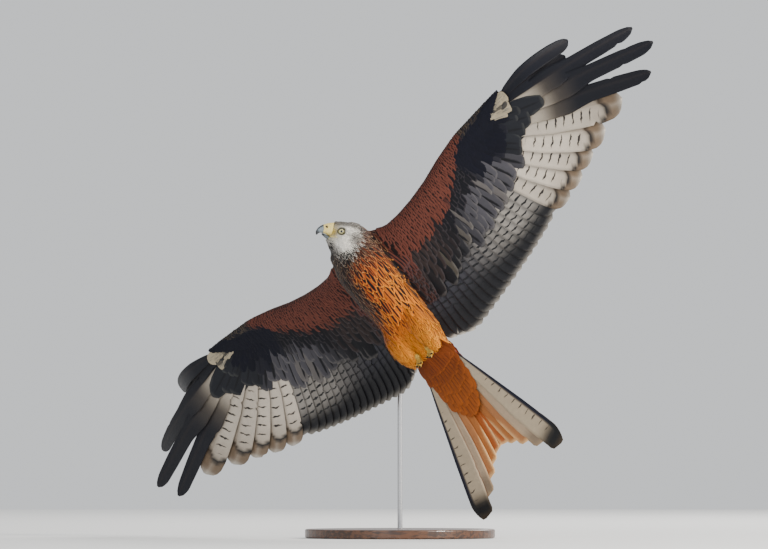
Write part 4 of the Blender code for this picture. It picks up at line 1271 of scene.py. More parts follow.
def covertColours(line, depth, below):
    # by the place of the covert's tip on the wing
    count = len(line)
    hand = ease(line, 17.0, 19.5)
    lot = dice.random(count)
    if below:
        # rufous lining, then the black band, then grey greater coverts
        liningEnd = np.interp(line, (0, 8, 12.8, 15.5, 17, 19, 21), (1.12, 1.10, 0.92, 0.64, 0.44, 0.24, 0.02))
        bandEnd = np.interp(line, (0, 4, 8, 13, 15.5, 17), (2.2, 2.0, 1.75, 1.42, 1.35, 1.5))
        band = ease(depth - liningEnd, -0.02, 0.10)
        outside = ease(depth - bandEnd, -0.08, 0.10)
        look = [solid("liningMaroon", count), solid("liningDark", count), solid("liningEdge", count),
                np.tile((0.42, 0.12, 0.16), (count, 1))]
        cover(look, band, mixes(1 - ease(line, 4, 9), paint["bandBlack"], paint["bandBrown"]), "greaterDark",
              "bandEdge", (0.40, 0, 0.35))
        cover(look, outside, mixes(ease(line, 5, 13), paint["greaterDark"], paint["greaterGrey"]), None,
              "greaterEdge", (0.2, 0, 0.3))
        # dark patch at the wrist, grey scalloped coverts beyond it and a pale spot at the hand's edge
        patchFrom = np.interp(line, (15.5, 16.5, 19, 22.3, 24, 27), (0.75, 0.5, 0.34, 0.30, 0.12, 0.0))
        patchTo = np.interp(line, (15.5, 17, 19.8, 23.5, 25.8, 27), (1.35, 1.5, 1.66, 1.38, 0.80, 0.60))
        patch = ease(line, 15.2, 16.2) * ease(depth - patchFrom, -0.03, 0.05) * (1 - ease(depth - patchTo, 0, 0.12))
        outer = ease(line, 18.4, 19.4) * (1 - patch) * ease(depth, 0.6, 0.9)
        cover(look, outer, "handGrey", None, "handEdge", (0.12, 0, 0.16))
        # the wrist patch is black with a painted blue reflection of the sky
        cover(look, patch, "carpalBlackSkyTint", "carpalBlackSkyTint", "carpalEdge", (0.1, 0, 0.2))
        edge = ease(line, 18.3, 19.3) * (1 - patch) * (1 - ease(depth, 0.3, 0.45))
        cover(look, edge, mixes(lot, paint["edgeOlive"], paint["carpalBlackSkyTint"]))
        beige = ease(line, 25.2, 25.7) * (1 - patch) * ease(depth, 1.05, 1.25)
        beige = np.maximum(beige, (np.abs(line - 24.4) < 0.5) * (np.abs(depth - 1.3) < 0.2))
        cover(look, beige, "edgeBeige", "handEdge", "edgeBeige")
        cover(look, (lot > 0.88) * outside * (line < 18) * 0.12, "edgeBeige")
    else:
        # rufous lesser coverts, a buff band, then dark greater coverts and a dark hand
        buff, last = ease(depth, 1.0, 1.2), ease(depth, 1.45, 1.7)
        look = [mixes(buff, paint["upperRufous"], paint["upperBuff"]), solid("upperDark", count),
                mixes(ease(depth, 1.0, 1.3), paint["mantleEdge"], paint["upperBuff"]),
                mixes(buff, (0.6, 0, 0.45), (0.35, 0, 0.55))]
        cover(look, last, "upperBrown", amounts=(0.2, 0, 0.28))
        dark = hand * ease(depth, 1.2, 1.5)
        cover(look, dark, "upperBlack")
        cover(look, hand * 0.55 * (1 - dark), "upperDark")
        cover(look, hand * 0.6, fringe="upperBrown")
    return look[:3], look[3], lot


def wingTiers(side, label, below):
    lines, rootDepths, tipDepths, lifts, halves, drifts = [], [], [], [], [], []
    for row, (rootDepth, tipDepth, many, lift) in enumerate(tiers["rows"]):
        step = guideLast / many
        line = (np.arange(many) + 0.5 + 0.5 * (row % 2)) * step
        line = np.minimum(line, guideLast) + dice.uniform(-1, 1, many) * step * 0.12
        lines.append(line)
        shift = dice.uniform(-1, 1, many) * tiers["jitter"] * (tipDepth - rootDepth)
        rootDepths.append(np.full(many, rootDepth))
        # the outermost coverts are short
        tipDepths.append(np.minimum(tipDepth + shift, np.interp(line, (23, 24.2, 26, 27), (9, 1.46, 1.6, 2.0))))
        drifts.append(dice.normal(0, 1, many) * step * tiers["drift"])
        lifts.append(np.full(many, lift))
        widest = np.full(many, rootDepth + 0.8 * (tipDepth - rootDepth))
        ahead = guideSpot(line + step / 2, widest)
        behind = guideSpot(line - step / 2, widest)
        halves.append(np.maximum(2.6, np.linalg.norm(ahead - behind, axis=-1) * tiers["overlap"]))
    fields = (lines, rootDepths, tipDepths, lifts, halves, drifts)
    line, rootDepth, tipDepth, lift, half, drift = (np.concatenate(values) for values in fields)
    along = covertShape[:, 0]
    depth = rootDepth[:, None] + (tipDepth - rootDepth)[:, None] * along
    spots = guideSpot(np.clip(line[:, None] + drift[:, None] * along, 0, guideLast), depth)
    out, forward = spots[..., 0], spots[..., 1]
    lengths = np.linalg.norm(spots[:, -1] - spots[:, 0], axis=-1)
    half = np.minimum(half, lengths * 0.56)
    sign = -1 if below else 1
    hand = ease(line, 18, 21)[:, None] * ease(depth, 0.9, 1.4)
    stack = wingHalf(forward, out) + tiers["base"] + lift[:, None] * along ** 1.1 + hand * (3.6 if below else 2.0)
    height = wingHeight(forward, out) + sign * stack
    spine, across, rise = wingFrame(out, forward, height)
    over = rise * sign
    spine, across, over = mirrored(side, spine, across, over)
    wide = half[:, None] * covertShape[None, :, 1]
    grid = vaneGrid(spine, across, over, wide, wide, covertColumns, wide * 0.16, 0.10)
    tones, amounts, lot = covertColours(line, tipDepth, below)
    span = np.stack([half, lengths, np.full(len(half), 7.0)], -1)
    homes = homesOf(np.stack([forward[:, 0], out[:, 0] * side, height[:, 0]], -1))
    name = ("underCoverts_" if below else "upperCoverts_") + label
    return plumeMesh(name, grid, covertColumns, along, tones, amounts, span, lot, homes, rootPatch, wingCoverts,
                     mirrorFaces=(side < 0) != below)


# three stiff feathers of the thumb, over the hand's leading edge
alula = {
    "roots": ((326, 52), (324, 45), (322, 38)),
    "tips": ((430, 60), (416, 51), (402, 42)),
    "lifts": (1.4, 0.7, 0.0),
    "over": 1.4,
    "rise": 1.2,
    "half": 8.0,
    "sag": 0.5,
    "shaft": 0.4,
    "stations": 18,
}


def alulaFeathers(side, label):
    roots, tips = np.array(alula["roots"], float), np.array(alula["tips"], float)
    along = np.linspace(0, 1, alula["stations"])
    out = roots[:, :1] + (tips[:, :1] - roots[:, :1]) * along
    forward = roots[:, 1:] + (tips[:, 1:] - roots[:, 1:]) * along
    lifts = alula["over"] + np.array(alula["lifts"])[:, None] + alula["rise"] * along
    height = wingHeight(forward, out) + wingHalf(forward, out) + lifts
    spine, across, rise = mirrored(side, *wingFrame(out, forward, height))
    wide = alula["half"] * np.interp(along, roundBlade[:, 0], roundBlade[:, 1])[None] * np.ones((3, 1))
    grid = vaneGrid(spine, across, rise, wide, wide * 1.3, vaneColumns, 0 * wide + alula["sag"], 0.0, alula["shaft"])
    tones = [paint[name] for name in ("upperBlack", "fingerBlackSkyTint", "upperBrown")]
    amounts, span = np.tile((0.0, 0.0, 0.4), (3, 1)), np.tile((9.0, 106.0, 19.0), (3, 1))
    homes = homesOf(spine[:, 0])
    return plumeMesh("alula_" + label, grid, vaneColumns, along, tones, amounts, span, dice.random(3), homes,
                     rootPatch, flightVanes, closed=True, mirrorFaces=side < 0)


# long feathers that close the gap between the wing and the flank
axillary = {
    "rows": 6,
    "perRow": 8,
    "first": (-26, 47),
    "step": (17, 3.2),
    "jitter": 2,
    "length": (52, 64),
    "half": 7.0,
    "outward": 11,
    "over": 1.6,
    "drop": 4.8,
}


def axillaries(side, label):
    (startX, startY), (stepX, stepY) = axillary["first"], axillary["step"]
    rows = np.array([(startX - stepX * row, startY + stepY * place)
                     for row in range(axillary["rows"]) for place in range(axillary["perRow"])], float)
    rows += dice.uniform(-axillary["jitter"], axillary["jitter"], rows.shape)
    count = len(rows)
    along = covertShape[:, 0]
    length = dice.uniform(*axillary["length"], count)
    forward = rows[:, :1] - length[:, None] * along
    out = rows[:, 1:] + axillary["outward"] * along
    height = wingHeight(forward, out) - wingHalf(forward, out) + axillary["over"] - axillary["drop"] * along ** 0.8
    spine, across, rise = wingFrame(out, forward, height)
    spine, across, over = mirrored(side, spine, across, -rise)
    half = np.full(count, axillary["half"])
    wide = half[:, None] * covertShape[None, :, 1]
    grid = vaneGrid(spine, across, over, wide, wide, covertColumns, wide * 0.16, 0.10)
    tint = dice.random((count, 1))
    ground = np.where(tint > 0.6, paint["brownAndSideShade"], paint["bandBrown"])
    ground = mixes(ease(-rows[:, 0], 34, 66), paint["liningMaroon"], ground)
    tones = (ground, solid("greaterDark", count), solid("bandEdge", count))
    amounts = np.tile((0.42, 0.0, 0.5), (count, 1))
    span = np.stack([half, length, np.full(count, 9.0)], -1)
    return plumeMesh("axillaries_" + label, grid, covertColumns, along, tones, amounts, span, dice.random(count),
                     homesOf(spine[:, 0]), rootPatch, wingCoverts, mirrorFaces=side > 0)


wingPieces = []
for label, side in (("left", 1), ("right", -1)):
    wingPieces.append(flightFeathers(side, label))
    wingPieces.append(wingTiers(side, label, True))
    wingPieces.append(wingTiers(side, label, False))
    wingPieces.append(alulaFeathers(side, label))
    wingPieces.append(axillaries(side, label))
print("wings ready")


# tail: twelve feathers in their levels, with coverts above and below
tail = {
    "pairs": 6,
    "spreadDeg": 17.2,
    "rootHalf": 33,
    "outerLength": 342,
    "innerLength": 238,
    "forkBow": 2.1,
    "width": 46,
    "layer": 0.95,
    "top": 4.5,
    "start": 16,
    "tipTurn": 9,
    "stations": 36,
    "shaft": 0.5,
}
tailBlade = np.array((
    (0, 0.15), (0.25, 0.55), (0.6, 0.92), (0.8, 1.0), (0.9, 0.98), (0.96, 0.86), (0.985, 0.62), (1, 0.18),
))


def tailColours(parts, along, cols):
    # the middle pair is orange, and toward the edges of the fan the feathers turn beige and then black with a painted
    # blue reflection of the sky
    v, c, under = vaneFields(len(parts), along, cols)
    part = np.broadcast_to(parts[:, None, None, None], v.shape)
    outerWeb = ease(c, -0.02, 0.1)
    beige = ease(part, 0.56, 0.90)
    low = mixes(ease(part, 0.15, 0.5) * 0.7, paint["tailOrange"], paint["tailTan"])
    low = mixes(beige, low, paint["tailBeige"])
    low = mixes(outerWeb * ease(part, 0.86, 0.98), low, paint["tailBlackSkyTint"])
    low = mixes(ease(v, 0.80, 0.91) * ease(part, 0.7, 0.95), low, paint["tailBlack"])
    high = mixes(outerWeb * ease(part, 0.8, 1.0) * 0.8, paint["tailUpper"], paint["tailBlack"])
    high = mixes(ease(v, 0.84, 0.94) * ease(part, 0.5, 0.85), high, paint["tailBlack"])
    nearShaft = ease(-c, 0.0, 0.08) * (1 - ease(-c, 0.3, 0.5))
    bars = np.where(under > 0.5, 0.24 * beige * nearShaft, 0.14) * ease(v, 0.2, 0.35) * (1 - ease(v, 0.84, 0.9))
    fringe = 0.85 * (1 - ease(part, 0.55, 0.9)) + 0.03
    fringe = fringe * ease(np.maximum(np.abs(c) * 0.9, ease(v, 0.9, 1.0)), 0.6, 1)
    tones = (mixes(under, high, low), paint["tailBar"], paint["tailFringe"])
    return tones, np.stack([0 * bars, bars, fringe], -1)


def tailSpine(part, spread, run, height):
    # part is 0 at the middle of the fan and 1 or -1 at its edges; run is mm from the tail's root
    angle = np.radians(spread) * np.abs(part)[:, None]
    across = tail["rootHalf"] * np.abs(part)[:, None] + run * np.sin(angle)
    side = np.where(part >= 0, 1.0, -1.0)
    spine = np.stack([-run * np.cos(angle), across, height + 0 * run], -1)
    ahead = unit(np.gradient(spine, axis=1))
    outward = unit(np.cross(ahead, np.array([0, 0, 1.0])))
    flip = np.stack([np.ones(len(part)), side, np.ones(len(part))], -1)[:, None]
    return spine * flip, outward * flip


def tailTurned(field):
    return tailToBird(field) - np.array(tailPlace)


def tailFeathers():
    along = np.linspace(0, 1, tail["stations"]) ** 0.92
    parts, levels = [], []
    for pair in range(tail["pairs"]):
        part = (pair + 0.5) / (tail["pairs"] - 0.5)
        for side in (1, -1):
            parts.append(side * part)
            levels.append(tail["top"] - tail["layer"] * (2 * pair + (side < 0)))
    parts, levels = np.array(parts), np.array(levels)
    count = len(parts)
    reach = tail["innerLength"] + (tail["outerLength"] - tail["innerLength"]) * np.abs(parts) ** tail["forkBow"]
    run = tail["start"] + (reach[:, None] - tail["start"]) * along
    spine, outward = tailSpine(parts, tail["spreadDeg"], run, levels[:, None] + 0 * run)
    # the tips turn in a little, so that they end round
    spine[..., 1] -= parts[:, None] * tail["tipTurn"] * ease(along, 0.86, 1) ** 1.6
    share = np.interp(along, tailBlade[:, 0], tailBlade[:, 1])[None]
    outerShare = (0.45 - 0.25 * np.abs(parts))[:, None]
    outer, inner = tail["width"] * share * outerShare, tail["width"] * share * (1 - outerShare)
    spine, outward = tailToBird(spine), tailTurned(outward)
    over = tailTurned(np.broadcast_to(np.array([0, 0, 1.0]), spine.shape))
    grid = vaneGrid(spine, outward, over, outer, inner, vaneColumns, 0 * outer, 0.0, tail["shaft"])
    grid = worn(grid, spine, 0.35)
    tones, amounts = tailColours(np.abs(parts), along, vaneColumns)
    span = np.stack([np.full(count, tail["width"] * 0.5), reach, np.full(count, 20.0)], -1)
    return plumeMesh("tailFeathers", grid, vaneColumns, along, tones, amounts, span, dice.random(count),
                     stripHomes(count, 0.075), (0.068, 0.95), flightVanes, closed=True)


tailTiers = {
    # reach of the tips, length, how many, spread in degrees
    "below": ((158, 74, 9, 8), (128, 66, 10, 9), (98, 58, 11, 10), (70, 50, 12, 12), (44, 42, 13, 13)),
    "above": ((114, 62, 10, 11), (86, 54, 11, 12), (60, 46, 12, 13), (36, 38, 12, 14)),
    "lift": 1.5,
    "half": 12.0,
}


def tailCoverts(key, sign):
    parts, reach, lengths, spread, lifts = [], [], [], [], []
    for row, (tipRun, long, many, wide) in enumerate(tailTiers[key]):
        part = (np.arange(many) - (many - 1) / 2) / ((many - 1) / 2)
        parts.append((part + dice.uniform(-0.03, 0.03, many)) * (0.80 if sign > 0 else 0.60 + 0.10 * row))
        reach.append(tipRun * (1 - 0.24 * part ** 2) * dice.uniform(0.96, 1.04, many))
        lengths.append(np.full(many, float(long)))
        spread.append(np.full(many, float(wide)))
        lifts.append(np.full(many, 1.4 * row))
    part, tipRun, long, wide, base = (np.concatenate(values) for values in (parts, reach, lengths, spread, lifts))
    along = covertShape[:, 0]
    run = tipRun[:, None] - long[:, None] * (1 - along)
    rootRuns = [-row[0] for row in tailRootSections]
    thick = np.interp(run, rootRuns, [row[2] for row in tailRootSections])
    edge = np.sqrt(np.maximum(0.05, 1 - (0.82 * part[:, None]) ** 2))
    leastDepth = 8.2 if sign < 0 else 6.4
    height = np.maximum(thick * edge, leastDepth) - 1.5 + base[:, None] * 0.5 + tailTiers["lift"] * along
    spine, outward = tailSpine(part, 1.0, run, sign * height)
    angle = np.radians(wide) * np.abs(part)
    spine[..., 1] += np.maximum(run, 0) * np.sin(angle)[:, None] * np.sign(part)[:, None]
    spine, outward = tailToBird(spine), tailTurned(outward)
    over = tailTurned(np.broadcast_to(np.array([0, 0, float(sign)]), spine.shape))
    half = np.full(len(part), tailTiers["half"]) * (0.75 + 0.25 * long / 74)
    across = half[:, None] * covertShape[None, :, 1]
    grid = vaneGrid(spine, outward, over, across, across, covertColumns, across * 0.2, 0.12)
    count = len(part)
    ground = mixes(ease(tipRun, 40, 120) * 0.5, paint["coverRufous"], paint["coverOrange"])
    if sign > 0:
        ground = mixes(0.6, ground, paint["tailUpper"])
    tones = (ground, solid("bellyStreak", count), solid("coverOrange", count))
    amounts = np.tile((0.09, 0, 0.25), (count, 1))
    span = np.stack([half, long, np.full(count, 10.0)], -1)
    name = "underTailCoverts" if sign < 0 else "upperTailCoverts"
    return plumeMesh(name, grid, covertColumns, along, tones, amounts, span, dice.random(count), homesOf(spine[:, 0]),
                     rootPatch, bodyPlumage)


tailPieces = [tailFeathers(), tailCoverts("below", -1), tailCoverts("above", 1)]
print("tail ready")


# the skin's own colours follow the feathers over it
def paintSkin():
    spots = np.concatenate([sample[0] for sample in coatSamples])
    tones = np.concatenate([sample[1] for sample in coatSamples])
    tree = KDTree(len(spots))
    for at, spot in enumerate(spots):
        tree.insert(Vector(spot), at)
    tree.balance()
    nearest = np.array([tree.find(Vector(point))[1] for point in skinPoints])
    colours = np.concatenate([tones[nearest] * 0.8, np.ones((len(nearest), 1))], axis=1)
    layer = skinMesh.attributes.new("ground", "FLOAT_COLOR", "POINT")
    layer.data.foreach_set("color", colours.astype(np.float32).ravel())
    material, tree, shader = newMaterial("downySkin", {"Roughness": 0.85, "Specular IOR Level": 0.2})
    down = cloudNoise(tree, objectPlace(tree), 420.0, 3.0)
    tone = scaled(tree, attribute(tree, "ground").outputs["Color"], ramp(tree, down, 0.3, 0.7, 0.7, 1.1))
    plug(tree, tone, shader.inputs["Base Color"])
    bumpFrom(tree, down, shader, 0.5, 0.0006)
    skinMesh.materials.append(material)
    skinMesh.polygons.foreach_set("use_smooth", np.ones(len(skinMesh.polygons), bool))
    skinMesh.transform(poseMatrix)


paintSkin()


# eyes, lids, bill and mouth
def closedPiece(name, points, faces, material, layer=None, values=None):
    mesh = bpy.data.meshes.new(name)
    mesh.from_pydata(toWorld(points).tolist(), [], [tuple(int(v) for v in face) for face in faces])
    turnFacesOut(mesh)
    if layer:
        spots = mesh.attributes.new(layer, "FLOAT_VECTOR", "POINT")
        spots.data.foreach_set("vector", np.asarray(values, np.float32).ravel())
    mesh.polygons.foreach_set("use_smooth", np.ones(len(mesh.polygons), bool))
    mesh.materials.append(material)
    return placed(name, mesh)


def ringShell(rings):
    # rings joined end to end into a ring of rings, as a lid is
    count, sides = len(rings), len(rings[0])
    index = np.arange(count * sides).reshape(count, sides)
    onward, around = np.roll(index, -1, axis=0), np.roll(index, -1, axis=1)
    quads = np.stack([index, around, np.roll(onward, -1, axis=1), onward], -1).reshape(-1, 4)
    return np.concatenate(rings), quads


def solidTone(name):
    return (*paint[name], 1)


paint.update({name: linearColour(code) for name, code in {
    "irisInner": "#dcd6ab", "irisOuter": "#c8b873", "irisEdge": "#4c4326", "pupil": "#050506",
    "lidSlate": "#36342c", "lidOlive": "#6d6647", "cereYellow": "#dcc878", "cereShade": "#b9984a",
    # the nostril's dark brown is painted shade in its opening
    "hornBlue": "#6d777d", "hornDark": "#0d0e13", "nostrilShadeBrown": "#2a180e", "toeYellow": "#dcae3e",
    "toeShade": "#94702a", "clawBlack": "#0b0b0d", "woodDark": "#2a170d", "woodLight": "#5b3820",
}.items()})


def eyeMaterial():
    material, tree, shader = newMaterial("eyeball", {"Roughness": 0.06, "Coat Weight": 0.3, "Coat Roughness": 0.02,
                                                     "Specular IOR Level": 0.3})
    x, y = parts(tree, attribute(tree, "spot").outputs["Vector"])[:2]
    far = sums(tree, "SQRT", sums(tree, "ADD", times(tree, x, x), times(tree, y, y)))
    ray = combined(tree, times(tree, sums(tree, "ARCTAN2", y, x), 9.0), times(tree, far, 0.35))
    fibres = times(tree, ramp(tree, cloudNoise(tree, ray, 2.6, 3.0), 0.45, 0.75), 0.4)
    colour = blendColours(tree, ramp(tree, far, 2.4, 5.8), solidTone("irisInner"), solidTone("irisOuter"))
    colour = blendColours(tree, fibres, colour, solidTone("irisOuter"))
    colour = blendColours(tree, ramp(tree, far, 5.7, 6.5), colour, solidTone("irisEdge"))
    colour = blendColours(tree, ramp(tree, far, 2.85, 2.45), colour, solidTone("pupil"))
    plug(tree, colour, shader.inputs["Base Color"])
    return material


def lidMaterial():
    material, tree, shader = newMaterial("lidSkin", {"Roughness": 0.42})
    across = parts(tree, attribute(tree, "spot").outputs["Vector"])[1]
    grain = cloudNoise(tree, objectPlace(tree), 1500.0, 3.0)
    mask = times(tree, ramp(tree, across, 0.35, 0.95), ramp(tree, grain, 0.3, 0.7, 0.5, 1.0))
    plug(tree, blendColours(tree, mask, solidTone("lidSlate"), solidTone("lidOlive")), shader.inputs["Base Color"])
    bumpFrom(tree, grain, shader, 0.5, 0.0003)
    return material


def skinAside(x, z, side):
    start = headToBird((x, side * 45, z))
    heading = headTurn @ np.array([0, -side, 0.0])
    spot = skinTree.ray_cast(Vector(start), Vector(heading))[0]
    return side * birdToHead(spot)[1] if spot is not None else 18.0


def makeEye(side, label):
    rings, spots = [], []
    sides = eye["ballSides"]
    angles = np.arange(sides) / sides * 2 * np.pi
    for polar in np.linspace(0.02, math.pi - 0.05, eye["ballRings"]):
        radius = eye["radius"] + eye["cornea"] * math.exp(-(polar / 0.5) ** 4)
        away = math.sin(polar) * radius
        ball = np.stack([np.cos(angles) * away, np.full(sides, math.cos(polar) * radius), np.sin(angles) * away], -1)
        rings.append(headToBird(ball * (1, side, 1) + np.array(eye["place"]) * (1, side, 1)))
        spots.append(np.stack([ball[:, 0], ball[:, 2], ball[:, 1]], -1))
    points, faces = shellOf(rings)
    piece = closedPiece("eyeball_" + label, points, faces, eyeball, "spot", np.concatenate(spots))
    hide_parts("eye_" + label)
    return piece


def makeLid(side, label):
    centre = np.array(eye["place"])
    sides = eye["lidSides"]
    angles = np.arange(sides) / sides * 2 * np.pi
    wide, tall = eye["open"]
    tilt = math.radians(eye["tiltDeg"])
    opening = wide * tall / np.hypot(tall * np.cos(angles - tilt), wide * np.sin(angles - tilt))
    outer = np.full(sides, eye["lidRadius"])
    hidden = np.array([skinAside(centre[0] + r * math.cos(a), centre[2] + r * math.sin(a), side)
                       for a, r in zip(angles, outer)])
    # share of the way out from the opening, rise over the eyeball, share of the skin's height
    profile = (
        (-0.10, 0.05, 0), (-0.03, 0.50, 0), (0.08, 0.78, 0), (0.24, 0.80, 0.1), (0.40, 0.66, 0.3), (0.50, 0.28, 0.5),
        (0.60, 0.50, 0.68), (0.78, 0.34, 0.9), (1.0, 0.1, 1), (1.0, -1.5, 1), (0.4, -1.2, 0.3), (-0.08, -0.9, 0),
    )
    rings, spots = [], []
    for share, rise, onSkinShare in profile:
        radius = opening + (outer - opening) * share
        ball = centre[1] + np.sqrt(np.maximum(eye["radius"] ** 2 - np.minimum(radius, opening) ** 2, 0.5))
        height = ball * (1 - onSkinShare) + hidden * onSkinShare + rise
        wrinkle = 0.10 * np.sin(angles * 31 + 2 * np.sin(angles * 3)) * (0.2 < share < 0.9) * (rise > 0)
        upper = 0.35 * np.clip(np.sin(angles - tilt), 0, 1) * (rise > 0.2)
        height = height + wrinkle + upper
        local = np.stack([centre[0] + radius * np.cos(angles), height, centre[2] + radius * np.sin(angles)], -1)
        rings.append(headToBird(local * (1, side, 1)))
        spots.append(np.stack([np.cos(angles), np.full(sides, share), np.sin(angles)], -1))
    points, faces = ringShell(rings)
    return closedPiece("lid_" + label, points, faces, lidSkin, "spot", np.concatenate(spots))


bill = {
    # place along, height, half width, half height, lean in degrees
    "upper": ((22.3, 7.5, 9.8, 15.0, 0), (30, 7.4, 8.6, 12.9, 0), (38, 6.4, 7.0, 9.9, 10), (44.6, 4.3, 5.4, 7.6, 25),
              (49.6, 0.9, 3.9, 5.1, 48), (52.4, -3.6, 2.4, 3.2, 72), (53.0, -8.0, 0.9, 1.1, 84)),
    "lower": ((22.3, -12.0, 8.2, 4.6, 0), (30, -9.8, 6.8, 4.2, 0), (37, -7.2, 4.8, 3.3, 8), (43, -4.6, 2.4, 2.0, 12)),
    "sides": 72,
    "steps": 15,
    "cereFront": 41.0,
    "nostril": (35.6, 10.4),
    "nostrilSize": (3.2, 2.2),
    "nostrilTiltDeg": 28,
    "roughness": 0.28,
}


def billMaterial():
    material, tree, shader = newMaterial("billHorn", {"Roughness": bill["roughness"], "Coat Weight": 0.25})
    cere, dark, pit = parts(tree, attribute(tree, "masks").outputs["Vector"])
    place = objectPlace(tree)
    grain = cloudNoise(tree, place, 900.0, 3.0)
    cloud = cloudNoise(tree, place, 160.0, 2.0)
    clouded = times(tree, dark, ramp(tree, cloud, 0.2, 0.6, 0.8, 1.0))
    horn = blendColours(tree, clouded, solidTone("hornBlue"), solidTone("hornDark"))
    wax = blendColours(tree, ramp(tree, grain, 0.35, 0.8, 0.0, 0.6), solidTone("cereYellow"), solidTone("cereShade"))
    colour = blendColours(tree, cere, horn, wax)
    # painted shade: the nostril's opening is darkened with its dark brown
    colour = blendColours(tree, pit, colour, solidTone("nostrilShadeBrown"))
    plug(tree, colour, shader.inputs["Base Color"])
    plug(tree, timesPlus(tree, cere, 0.2, bill["roughness"]), shader.inputs["Roughness"])
    bumpFrom(tree, times(tree, grain, sums(tree, "ADD", cere, 0.15)), shader, 0.35, 0.0003)
    return material


def makeBill(key, node):
    angles = np.arange(bill["sides"]) / bill["sides"] * 2 * np.pi
    rows = smoothRows(bill[key], bill["steps"])
    upper = key == "upper"
    rings, masks = [], []
    for at, (x, z, wide, tall, lean) in enumerate(rows):
        turn = math.radians(lean)
        cosine, sine = np.cos(angles), np.sin(angles)
        # a narrow ridge above, flat sides and a sharper cutting edge
        ridge = 1 - 0.20 * np.clip(sine * (1 if upper else -1), 0, 1) ** 3
        across = np.sign(cosine) * np.abs(cosine) ** 0.88 * wide * ridge
        rise = sine * tall
        local = np.stack([x + math.sin(turn) * rise, across, z + math.cos(turn) * rise], -1)
        cereEdge = bill["cereFront"] + 0.10 * (local[:, 2] - 4) - 1.2 * np.exp(-((local[:, 2] - 5) / 4) ** 2)
        cere = 1 - ease(local[:, 0] - cereEdge, -0.4, 0.6)
        part = at / (len(rows) - 1)
        if upper:
            swell = 0.30 * cere * ease(local[:, 0], 23, 27)
            tilt = math.radians(bill["nostrilTiltDeg"])
            dx, dz = local[:, 0] - bill["nostril"][0], local[:, 2] - bill["nostril"][1]
            far = np.hypot((dx * math.cos(tilt) + dz * math.sin(tilt)) / bill["nostrilSize"][0],
                           (dz * math.cos(tilt) - dx * math.sin(tilt)) / bill["nostrilSize"][1])
            far = np.where(np.abs(cosine) > 0.3, far, 9)
            pit = 1 - ease(far, 0.75, 1.15)
            rim = np.exp(-((far - 1.45) / 0.3) ** 2)
            edge = np.exp(-((sine + 0.62) / 0.12) ** 2)
            local[:, 1] += np.sign(cosine) * (swell - 1.5 * pit + 0.22 * rim + 0.35 * edge)
            dark = np.maximum(ease(part, 0.62, 0.80), ease(sine, 0.45, 0.76) * ease(local[:, 0], 39, 42))
        else:
            cere = 1 - ease(local[:, 0] + local[:, 2] * 0.4, 20, 25)
            pit = 0 * angles
            dark = 0.5 + 0.5 * ease(local[:, 0], 34, 41)
        rings.append(headToBird(local))
        masks.append(np.stack([cere, dark, pit], -1))
    points, faces = shellOf(rings)
    piece = closedPiece(node, points, faces, billHorn, "masks", np.concatenate(masks))
    piece.name = key + "Bill"
    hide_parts(node)
    return piece


def sweptRings(points, radii, sides, flat=1.0):
    points = np.asarray(points, float)
    ahead = unit(np.gradient(points, axis=0))
    lead = np.array([0.0, 0.0, 1.0]) if abs(ahead[0][2]) < 0.9 else np.array([0.0, 1.0, 0.0])
    rings = []
    for middle, direction, radius in zip(points, ahead, radii):
        side = unit(np.cross(lead, direction))
        lead = np.cross(direction, side)
        rings.append(ovalRing(middle, side, lead, radius, radius * flat, sides))
    return rings


# yellow corner of the mouth, running back under the eye
gape = {
    "start": 25.5,
    "end": 8.5,
    "height": -8.2,
    "fall": 0.10,
    "radius": 1.25,
    "steps": 26,
    "sides": 14,
}


def makeGape(side, label):
    points = []
    for x in np.linspace(gape["start"], gape["end"], gape["steps"]):
        z = gape["height"] - gape["fall"] * (gape["start"] - x)
        points.append(headToBird((x, side * (skinAside(x, z, side) - 0.1), z)))
    share = np.linspace(0, 1, gape["steps"])
    radii = gape["radius"] * (1 - share) ** 0.5 * (1 + 0.1 * np.sin(share * 40)) + 0.15
    shell = shellOf(sweptRings(points, radii, gape["sides"], 0.8))
    masks = np.tile((1.0, 0, 0), (len(shell[0]), 1))
    return closedPiece("gape_" + label, shell[0], shell[1], billHorn, "masks", masks)


foot = {
    "place": (-238, 16, -39),
    "palm": (8, 6.5, 5.5),
    # heading and length of each toe
    "toes": ((-22, 22), (0, 26), (22, 22), (180, 12)),
    "curlDeg": (-70, 60),
    "radius": 3.6,
    "clawLength": 15,
    "toeSteps": 42,
    "clawSteps": 21,
    "scutes": 10,
    "sides": 24,
}


def toePath(root, heading, curl, length):
    turn = math.radians(heading)
    outward = np.array([-math.cos(turn), math.sin(turn), 0])
    side = np.array([math.sin(turn), math.cos(turn), 0])
    pitch, place, rows = math.radians(-4), np.array(root, float), []
    steps, clawSteps = foot["toeSteps"], foot["clawSteps"]
    for step in range(steps + clawSteps + 1):
        claw = step >= steps
        ahead = outward * math.cos(pitch) + np.array([0, 0, 1.0]) * math.sin(pitch)
        rows.append((place, side, np.cross(side, ahead), claw, (step - steps) / clawSteps if claw else step / steps))
        place = place + ahead * (foot["clawLength"] / clawSteps if claw else length / steps)
        pitch += math.radians(curl) / (clawSteps if claw else steps)
    return rows


def footMaterial():
    material, tree, shader = newMaterial("scalySkin", {"Roughness": 0.48})
    place = objectPlace(tree)
    cells = addNode(tree, "ShaderNodeTexVoronoi", feature="DISTANCE_TO_EDGE")
    plug(tree, place, cells.inputs["Vector"])
    cells.inputs["Scale"].default_value = 620.0
    furrow = ramp(tree, cells.outputs["Distance"], 0.02, 0.18)
    cloud = cloudNoise(tree, place, 220.0, 2.0)
    tone = blendColours(tree, ramp(tree, cloud, 0.3, 0.75, 0.0, 0.6), solidTone("toeYellow"), solidTone("toeShade"))
    plug(tree, blendColours(tree, furrow, solidTone("toeShade"), tone), shader.inputs["Base Color"])
    bumpFrom(tree, furrow, shader, 0.6, 0.0004)
    return material


